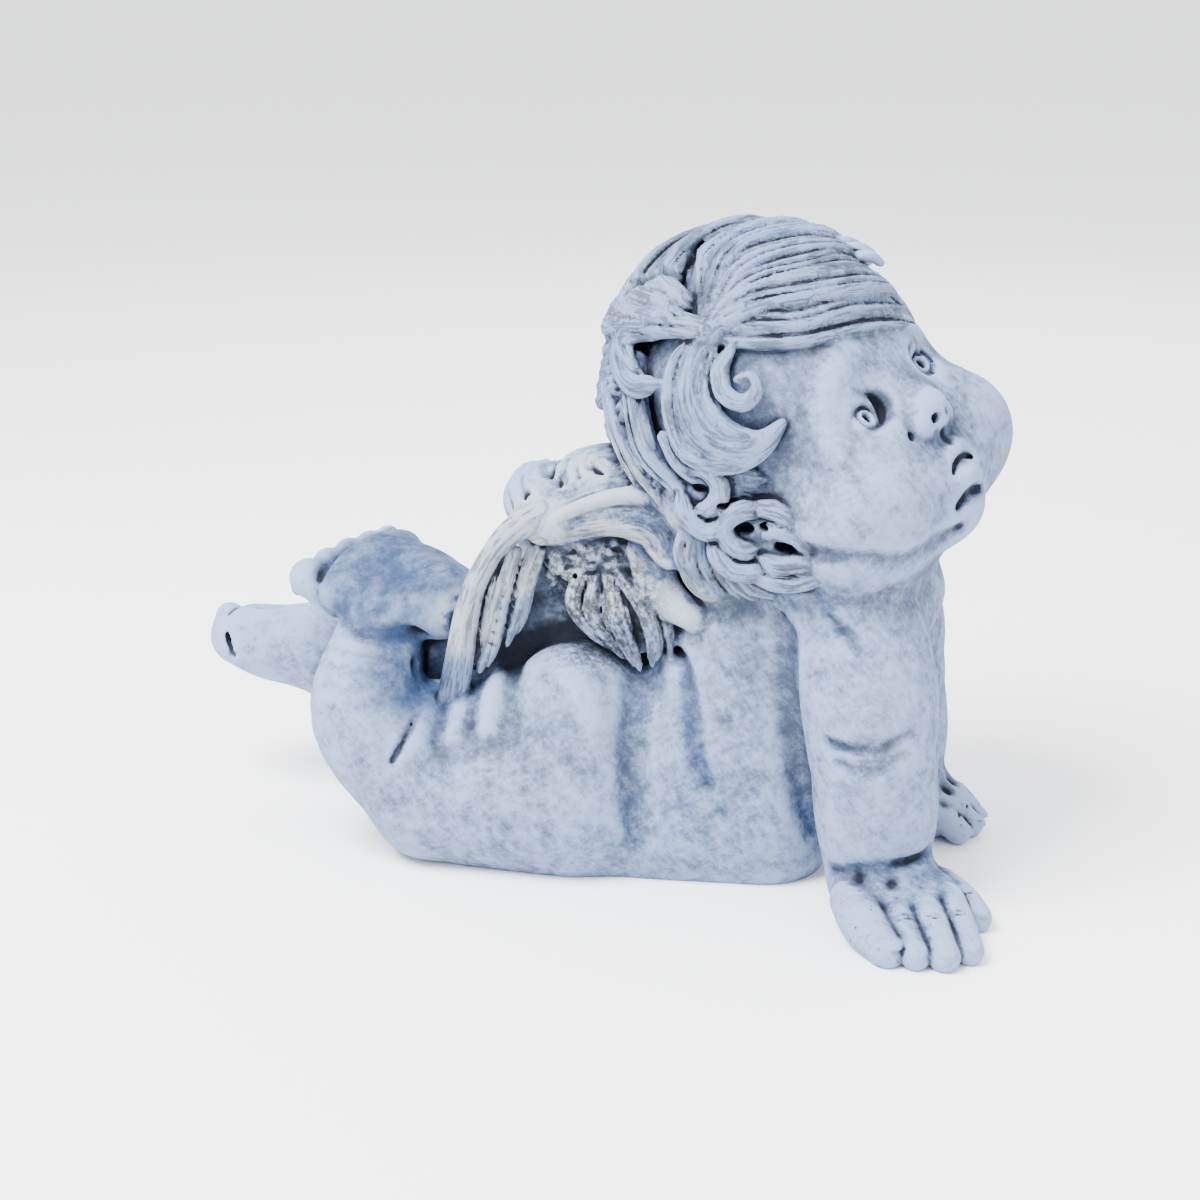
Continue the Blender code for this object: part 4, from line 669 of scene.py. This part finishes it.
for side in (-1, 1):
    def out_side(place, side=side):
        return np.array((0.1, side * 0.965, 0.24))

    def wing_line(points, side=side):
        return np.array([(x, side * y, z) for x, y, z in points])

    clay.ball((5.0, side * 5.2, 45.8), (7.4, 4.6, 3.6), blend=2.2)
    clay.ball((-3.6, side * 5.6, 43.4), (5.6, 4.0, 3.2), blend=2.2)
    clay.ball((0.6, side * 5.0, 38.8), (7.0, 2.7, 3.9), blend=1.2)
    clay.ball((4.8, side * 5.8, 32.4), (5.6, 2.5, 5.6), blend=1.2)
    for points, wide in BEHIND_FEATHERS:
        widths = wide * np.array([0.9] + [1.0] * (len(points) - 2) + [0.4])
        clay.lock(wing_line(points), widths, 1.1, out_side, blend=0.3, strands=0.3, pitch=1.1)
    for x, z in NOTCHES:
        furrow(wing_line([(x + 0.9, 8.6, z - 0.3), (x - 0.9, 8.9, z + 0.75)]), [0.42, 0.12], 0.2)
    clay.lock(wing_line(OUTER_FEATHER), [1.5, 1.7, 1.35, 1.35, 1.6, 1.85, 2.0, 1.6], 1.5, out_side,
              blend=0.5, strands=0.16, pitch=1.3)
    for points, wide in BUNDLE:
        widths = wide * np.array([0.8] + [1.0] * (len(points) - 2) + [0.4])
        clay.lock(wing_line(points), widths, 1.15, out_side, blend=0.3, strands=0.32, pitch=0.75)
    for number in range(70):
        x, z = chance.uniform(-5.6, 6.4), chance.uniform(35.6, 42.0)
        turn, bend = chance.uniform(0, 2 * np.pi), chance.uniform(-1.8, 1.8)
        path = []
        for step in range(4):
            rise = max(0.0, 1 - ((x - 0.6) / 7.0) ** 2 - ((z - 38.8) / 3.9) ** 2)
            path.append((x, 5.0 + 2.7 * np.sqrt(rise), z))
            x, z = x + 0.65 * np.cos(turn), z + 0.65 * np.sin(turn)
            turn += bend * 0.6
        clay.limb(wing_line(path), [0.15, 0.32, 0.3, 0.15], blend=0.3, steps=3, carve=number % 3 == 0)
    clay.lock(wing_line(SHOULDER_BAND), [2.8, 2.5, 2.2, 1.6], 1.7, out_side, blend=0.9, combing=False)
    clay.lock(wing_line(BAR), [1.0, 1.8, 2.5, 3.0, 3.5, 3.1, 2.1], 2.7, out_side, blend=1.4, strands=0.12,
              pitch=1.4)
    clay.limb(wing_line(BAR_RIM), [0.4, 0.7, 0.85, 0.95, 1.0, 1.0, 1.0, 0.95, 0.8, 0.4], blend=0.7)
    furrow(wing_line([(-1.6, 11.2, 44.0), (2.6, 11.7, 45.2), (6.3, 11.9, 45.0), (9.2, 11.8, 43.4)]),
           [0.5, 0.85, 0.9, 0.5], 1.5)
LUMPS = (((-7.0, 0.5, 44.2), (5.0, 6.8, 4.5)), ((1.2, 0.0, 46.2), (7.2, 6.8, 5.1)))
for number in range(90):
    centre, radii = LUMPS[number % 2]
    turn, tilt = chance.uniform(0, 2 * np.pi), chance.uniform(0.15, 1.35)
    swing = chance.uniform(0.3, 0.6)
    path = []
    for step in np.linspace(0, swing, 4):
        way = np.array((np.cos(turn + step) * np.cos(tilt - step),
                        np.sin(turn + step) * np.cos(tilt - step), np.sin(tilt - step)))
        path.append(np.array(centre) + way * radii * (1.0 + 0.015 * (number % 3)))
    clay.limb(path, [0.1, 0.24, 0.24, 0.1], blend=0.45, carve=number % 3 > 0)


# The finished casting: the clay is skinned, thinned evenly and cut flat below, and each point of the
# skin is told how hollow the place is, finely and coarsely, and which way it is combed, for the finish
# to read.
TRIANGLES = 192000
SLICE = 0.25
FINE_REACH = 0.7
BROAD_REACH = 2.6


def box_blur(block, cells):
    """The mean of a block over a cube of that many cells each way."""
    for axis in range(3):
        total = np.cumsum(np.pad(block, [(cells + 1, cells) if i == axis else (0, 0) for i in range(3)],
                                 "edge"), axis, dtype=np.float64)
        size = block.shape[axis]
        above = np.take(total, range(2 * cells + 1, size + 2 * cells + 1), axis)
        below = np.take(total, range(size), axis)
        block = ((above - below) / (2 * cells + 1)).astype(np.float32)
    return block


def sampled(block, places):
    """Values of a block at places between its cells."""
    where = (places - clay.low) / clay.grain
    corner = np.clip(np.floor(where).astype(int), 0, np.array(block.shape) - 2)
    part = np.clip(where - corner, 0, 1)
    value = np.zeros(len(places))
    for dx in (0, 1):
        for dy in (0, 1):
            for dz in (0, 1):
                weight = (abs(1 - dx - part[:, 0]) * abs(1 - dy - part[:, 1]) * abs(1 - dz - part[:, 2]))
                value += weight * block[corner[:, 0] + dx, corner[:, 1] + dy, corner[:, 2] + dz]
    return value


def keep_largest(form):
    """Removes sealed hollows and crumbs: all but the island with the most corners."""
    left = set(form.verts)
    islands = []
    while left:
        island = [left.pop()]
        for corner in island:
            for edge in corner.link_edges:
                other = edge.other_vert(corner)
                if other in left:
                    left.remove(other)
                    island.append(other)
        islands.append(island)
    islands.sort(key=len)
    bmesh.ops.delete(form, geom=[corner for island in islands[:-1] for corner in island], context="VERTS")


grid = openvdb.FloatGrid(EMPTY)
grid.copyFromArray(clay.cells)
points, triangles, quads = grid.convertToPolygons(0.0, 0.0)
skin = bpy.data.meshes.new("casting")
skin.from_pydata(points * clay.grain + clay.low, [], np.vstack([quads[:, :3],
                                                                quads[:,
                                                                      [0, 2,
                                                                       3]]]).tolist() + triangles.tolist())
casting = bpy.data.objects.new("casting", skin)
bpy.context.scene.collection.objects.link(casting)
form = bmesh.new()
form.from_mesh(skin)
keep_largest(form)
full = len(form.faces)
form.to_mesh(skin)
form.free()
thin = casting.modifiers.new("thin", "DECIMATE")
thin.ratio = min(1.0, TRIANGLES / full)
bpy.context.view_layer.update()
thinned = bpy.data.meshes.new_from_object(casting.evaluated_get(bpy.context.evaluated_depsgraph_get()))
casting.modifiers.clear()
form = bmesh.new()
form.from_mesh(thinned)
bmesh.ops.bisect_plane(form, geom=form.verts[:] + form.edges[:] + form.faces[:], plane_co=(0, 0, SLICE),
                       plane_no=(0, 0, 1), clear_inner=True)
bmesh.ops.holes_fill(form, edges=[edge for edge in form.edges if edge.is_boundary], sides=0)
bmesh.ops.triangulate(form, faces=form.faces)
keep_largest(form)
bmesh.ops.recalc_face_normals(form, faces=form.faces)
form.to_mesh(thinned)
form.free()
casting.data = thinned
bpy.data.meshes.remove(skin)
places = np.empty(len(thinned.vertices) * 3, np.float32)
thinned.vertices.foreach_get("co", places)
places = places.reshape(-1, 3).astype(float)
filled = np.clip(0.5 - clay.cells / clay.grain, 0, 1)
marks = {
    "fine_hollow": sampled(box_blur(filled, max(1, round(FINE_REACH / GRAIN))), places),
    "broad_hollow": sampled(box_blur(filled, round(BROAD_REACH / GRAIN)), places),
    "comb": sampled(clay.comb, places),
}
for name, values in marks.items():
    thinned.attributes.new(name, "FLOAT", "POINT").data.foreach_set("value", values.astype(np.float32))
places = (places - MIDDLE) * UNIT
places[np.abs(places[:, 2]) < 1e-6, 2] = 0
thinned.vertices.foreach_set("co", places.astype(np.float32).ravel())
thinned.polygons.foreach_set("use_smooth", np.ones(len(thinned.polygons), bool))
thinned.update()


# The finish: blue-grey stone mix, washed with dark grey that stays in the fine hollows, with painted shade
# in the broad hollows, in the recess between the wings and on the near foot and the shin beneath it,
# then dry-brushed with white, most on the raised parts, with a painted highlight of pale bone on the
# wing edges, pits from the mould, darker patches at the wings and a green stain at the nape.
stone = bpy.data.materials.new("washed_stone")
stone.use_nodes = True
nodes, links = stone.node_tree.nodes, stone.node_tree.links
shader = nodes["Principled BSDF"]
shader.inputs["Specular IOR Level"].default_value = 0.12


def sums(operation, first, second, clamp=False):
    """One step of arithmetic on two values or sockets."""
    made = nodes.new("ShaderNodeMath")
    made.operation = operation
    made.use_clamp = clamp
    for socket, value in zip(made.inputs, (first, second)):
        if isinstance(value, (int, float)):
            socket.default_value = value
        else:
            links.new(value, socket)
    return made.outputs[0]


def times(first, second, clamp=False):
    return sums("MULTIPLY", first, second, clamp)


def plus(first, second):
    return sums("ADD", first, second)


def larger(first, second):
    return sums("MAXIMUM", first, second)


def ramp(value, low, high, top=1.0, bottom=0.0):
    """A smooth step from bottom to top as the value goes from low to high."""
    made = nodes.new("ShaderNodeMapRange")
    made.interpolation_type = "SMOOTHSTEP"
    for name, number in (("From Min", low), ("From Max", high), ("To Min", bottom), ("To Max", top)):
        made.inputs[name].default_value = number
    links.new(value, made.inputs["Value"])
    return made.outputs[0]


def layered(under, over, amount):
    """One colour laid over another."""
    made = nodes.new("ShaderNodeMix")
    made.data_type = "RGBA"
    links.new(amount, made.inputs["Factor"])
    for socket, value in ((made.inputs["A"], under), (made.inputs["B"], over)):
        if isinstance(value, tuple):
            socket.default_value = value
        else:
            links.new(value, socket)
    return made.outputs["Result"]


def attribute(name):
    made = nodes.new("ShaderNodeAttribute")
    made.attribute_name = name
    return made.outputs["Fac"]


def noise(scale, detail=4.0, roughness=0.6, stretch=None, turn=0.0):
    """Noise on the object's own place, stretched one way for brush marks."""
    made = nodes.new("ShaderNodeTexNoise")
    made.inputs["Scale"].default_value = scale
    made.inputs["Detail"].default_value = detail
    made.inputs["Roughness"].default_value = roughness
    source = where.outputs["Object"]
    if stretch:
        turning = nodes.new("ShaderNodeVectorRotate")
        turning.rotation_type = "Y_AXIS"
        turning.inputs["Angle"].default_value = turn
        links.new(source, turning.inputs["Vector"])
        source = turning.outputs[0]
        mapping = nodes.new("ShaderNodeMapping")
        mapping.inputs["Scale"].default_value = stretch
        links.new(source, mapping.inputs["Vector"])
        source = mapping.outputs[0]
    links.new(source, made.inputs["Vector"])
    return made.outputs["Fac"]


where = nodes.new("ShaderNodeTexCoord")
fine, broad, comb = attribute("fine_hollow"), attribute("broad_hollow"), attribute("comb")
place = nodes.new("ShaderNodeSeparateXYZ")
links.new(where.outputs["Object"], place.inputs[0])


def nearness(x, y, z, near, far):
    """1 within the near distance of a place on the figure, 0 past the far one, in shares."""
    spot = (np.array((x, y, z)) - MIDDLE) * UNIT
    gap = nodes.new("ShaderNodeVectorMath")
    gap.operation = "DISTANCE"
    gap.inputs[1].default_value = spot
    links.new(where.outputs["Object"], gap.inputs[0])
    return ramp(gap.outputs["Value"], near * UNIT, far * UNIT, 0.0, 1.0)


BASE = (0.044, 0.060, 0.102, 1)
PALE = (0.225, 0.290, 0.440, 1)
DARK = (0.005, 0.006, 0.011, 1)
BLUE = (0.022, 0.051, 0.136, 1)
GREEN = (0.067, 0.090, 0.054, 1)
BONE_HIGHLIGHT = (0.312, 0.336, 0.360, 1)
FOOT_SHADE_BLUE = (0.017, 0.036, 0.086, 1)
WING_PATCH_GREY = (0.012, 0.013, 0.015, 1)
SCUFF = (0.028, 0.027, 0.029, 1)
OCHRE = (0.38, 0.31, 0.22, 1)

blotches = noise(110, 7, 0.74)
wide_blotches = noise(16, 4, 0.55)
brush = noise(300, 6, 0.72, (0.38, 1.0, 1.0), -0.9)
brush_two = noise(420, 5, 0.72, (0.3, 1.0, 1.0), 0.5)
grit = noise(1500, 2, 0.5)
colour = layered(BASE, BLUE, ramp(wide_blotches, 0.42, 0.66, 0.65))
# Painted shade: darker blue on the near foot and on the shin beneath it.
feet_shade = larger(nearness(-25, -3, 37, 8, 13), nearness(-22, -10, 24, 3, 9))
colour = layered(colour, BLUE, times(feet_shade, 0.6))
dry = plus(times(blotches, 0.46), plus(times(brush, 0.34), times(brush_two, 0.24)))
raised = ramp(fine, 0.52, 0.36)
standing = ramp(broad, 0.60, 0.36)
dry = plus(dry, plus(times(raised, 0.20), times(standing, 0.16)))
combed = ramp(comb, 5.0, 15.0)
strand_place = nodes.new("ShaderNodeCombineXYZ")
links.new(comb, strand_place.inputs["X"])
links.new(times(place.outputs["X"], 34.0), strand_place.inputs["Y"])
links.new(times(place.outputs["Z"], 34.0), strand_place.inputs["Z"])
strand_noise = nodes.new("ShaderNodeTexNoise")
strand_noise.inputs["Scale"].default_value = 2.3
strand_noise.inputs["Detail"].default_value = 3.0
strand_noise.inputs["Roughness"].default_value = 0.62
links.new(strand_place.outputs[0], strand_noise.inputs["Vector"])
waves = ramp(strand_noise.outputs["Fac"], 0.34, 0.66, 1.0, -1.0)
colour = layered(colour, PALE, times(ramp(dry, 0.44, 0.78, 0.97),
                                     sums("SUBTRACT", 1.0, times(combed, 0.35))))
# More painted shade on the feet, in a deeper blue.
colour = layered(colour, FOOT_SHADE_BLUE, times(feet_shade, ramp(noise(90, 6, 0.7), 0.32, 0.66, 0.95, 0.5)))
# Painted highlight: pale bone on the wing's top edge, its outer feather and its inner end, broken up by the
# dry-brush pattern.
wing_rim_highlight = nearness(2, -9, 43, 9, 13)
outer_rim_highlight = larger(nearness(-10, -9, 40, 5, 8), nearness(-14.5, -9.5, 31, 3, 5.5))
inner_rim_highlight = nearness(12, -9, 36, 4, 7)
rim_highlights = larger(larger(wing_rim_highlight, outer_rim_highlight), inner_rim_highlight)
colour = layered(colour, BONE_HIGHLIGHT, times(rim_highlights, ramp(dry, 0.50, 0.72, 0.75)))
strokes = times(times(combed, ramp(waves, 0.1, -0.8)), 0.6)
# Dark wash that stays in the fine hollows and between the combed strands, with painted shade added in the
# broad hollows.
wash_and_shade = plus(plus(ramp(fine, 0.515, 0.62, 1.0), strokes), ramp(broad, 0.63, 0.84, 0.8))
wash_and_shade = times(wash_and_shade, ramp(noise(90, 4, 0.6), 0.25, 0.6, 1.0, 0.55), True)
colour = layered(colour, DARK, wash_and_shade)
# Darker grey patches inside the near wing's arch.
wing_dark_patches = times(nearness(1, -8, 34, 6, 11), ramp(noise(330, 5, 0.7), 0.40, 0.58, 0.8))
colour = layered(colour, WING_PATCH_GREY, wing_dark_patches)
# Painted shade: dark laid into the recess of the web between the wings, where it is most hollow.
recess_shade = nearness(-7, -3.5, 27, 5, 8.5)
colour = layered(colour, DARK, times(recess_shade, ramp(broad, 0.44, 0.56, 0.95)))
green = times(nearness(15.5, -14, 39, 2.5, 6.5), ramp(noise(70, 4, 0.6), 0.35, 0.6, 0.5))
colour = layered(colour, GREEN, green)
elbow = times(nearness(35, -21.5, 21.5, 0.5, 5), ramp(noise(150, 5, 0.7), 0.42, 0.62, 0.7))
colour = layered(colour, SCUFF, elbow)
temple = times(nearness(36, -15, 63, 1.5, 5), 0.16)
colour = layered(colour, OCHRE, temple)
hand_pits = larger(nearness(37, -28, 2.5, 4, 9), nearness(44, 8, 4, 4, 9))
pits = ramp(noise(420, 3, 0.7), 0.60, 0.72)
colour = layered(colour, DARK, times(pits, plus(times(hand_pits, 0.75), 0.10)))
links.new(colour, shader.inputs["Base Color"])
links.new(ramp(plus(dry, times(grit, 0.2)), 0.4, 1.0, 0.86, 0.62), shader.inputs["Roughness"])

relief = plus(times(times(waves, combed), 0.16), plus(times(brush, 0.5), times(grit, 0.12)))
relief = plus(relief, plus(times(noise(300, 6, 0.7), 0.55), times(pits, -0.35)))
bump = nodes.new("ShaderNodeBump")
bump.inputs["Strength"].default_value = 0.55
bump.inputs["Distance"].default_value = 0.0011
links.new(relief, bump.inputs["Height"])
links.new(bump.outputs[0], shader.inputs["Normal"])
thinned.materials.clear()
thinned.materials.append(stone)
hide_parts("angel")
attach(casting, "root")


# The room: a plain pale floor under the figure, soft light from above and the left, and the camera at the
# photograph's height and side, which looks down a little on the figure's right.
FLOOR_SIZE = 60.0
floor_mesh = bpy.data.meshes.new("floor")
form = bmesh.new()
bmesh.ops.create_grid(form, x_segments=1, y_segments=1, size=FLOOR_SIZE)
form.to_mesh(floor_mesh)
form.free()
floor = bpy.data.objects.new("floor", floor_mesh)
bpy.context.scene.collection.objects.link(floor)
pale = bpy.data.materials.new("pale_floor")
pale.use_nodes = True
pale.node_tree.nodes["Principled BSDF"].inputs["Base Color"].default_value = (0.95, 0.95, 0.955, 1)
pale.node_tree.nodes["Principled BSDF"].inputs["Roughness"].default_value = 0.9
floor_mesh.materials.append(pale)

world = bpy.data.worlds.new("room")
world.use_nodes = True
world.node_tree.nodes["Background"].inputs["Color"].default_value = (0.95, 0.97, 1.0, 1)
world.node_tree.nodes["Background"].inputs["Strength"].default_value = 2.2
bpy.context.scene.world = world


def hang_light(name, place, target, size, power, colour):
    data = bpy.data.lights.new(name, "AREA")
    data.size = size
    data.energy = power
    data.color = colour
    lamp = bpy.data.objects.new(name, data)
    lamp.location = place
    lamp.rotation_euler = (Vector(target) - Vector(place)).to_track_quat("-Z", "Y").to_euler()
    bpy.context.scene.collection.objects.link(lamp)


hang_light("key", (-0.45, -0.55, 1.25), (0, 0, 0.12), 0.7, 72, (0.98, 0.99, 1.0))
hang_light("fill", (1.1, -0.7, 0.7), (0, 0, 0.12), 1.2, 9, (0.95, 0.97, 1.0))
hang_light("back", (0.2, 1.1, 1.1), (0, 0, 0.15), 1.0, 16, (1.0, 1.0, 1.0))

AZIMUTH, ELEVATION, DISTANCE = np.radians(10.0), np.radians(18.0), 270.0
SENSOR, PICTURE_WIDTH, SHARE_WIDTH = 36.0, 1200.0, 8.08
TARGET = np.array((0.0, 0.0, 31.5))
back = np.array((np.sin(AZIMUTH) * np.cos(ELEVATION), -np.cos(AZIMUTH) * np.cos(ELEVATION),
                 np.sin(ELEVATION)))
lens = bpy.data.cameras.new("camera")
lens.sensor_width = SENSOR
lens.lens = SENSOR * SHARE_WIDTH * DISTANCE / PICTURE_WIDTH
lens.clip_start = 0.01
camera = bpy.data.objects.new("camera", lens)
camera.location = Vector((TARGET + back * DISTANCE - MIDDLE) * UNIT)
camera.rotation_euler = Vector(-back).to_track_quat("-Z", "Y").to_euler()
bpy.context.scene.collection.objects.link(camera)
bpy.context.scene.camera = camera
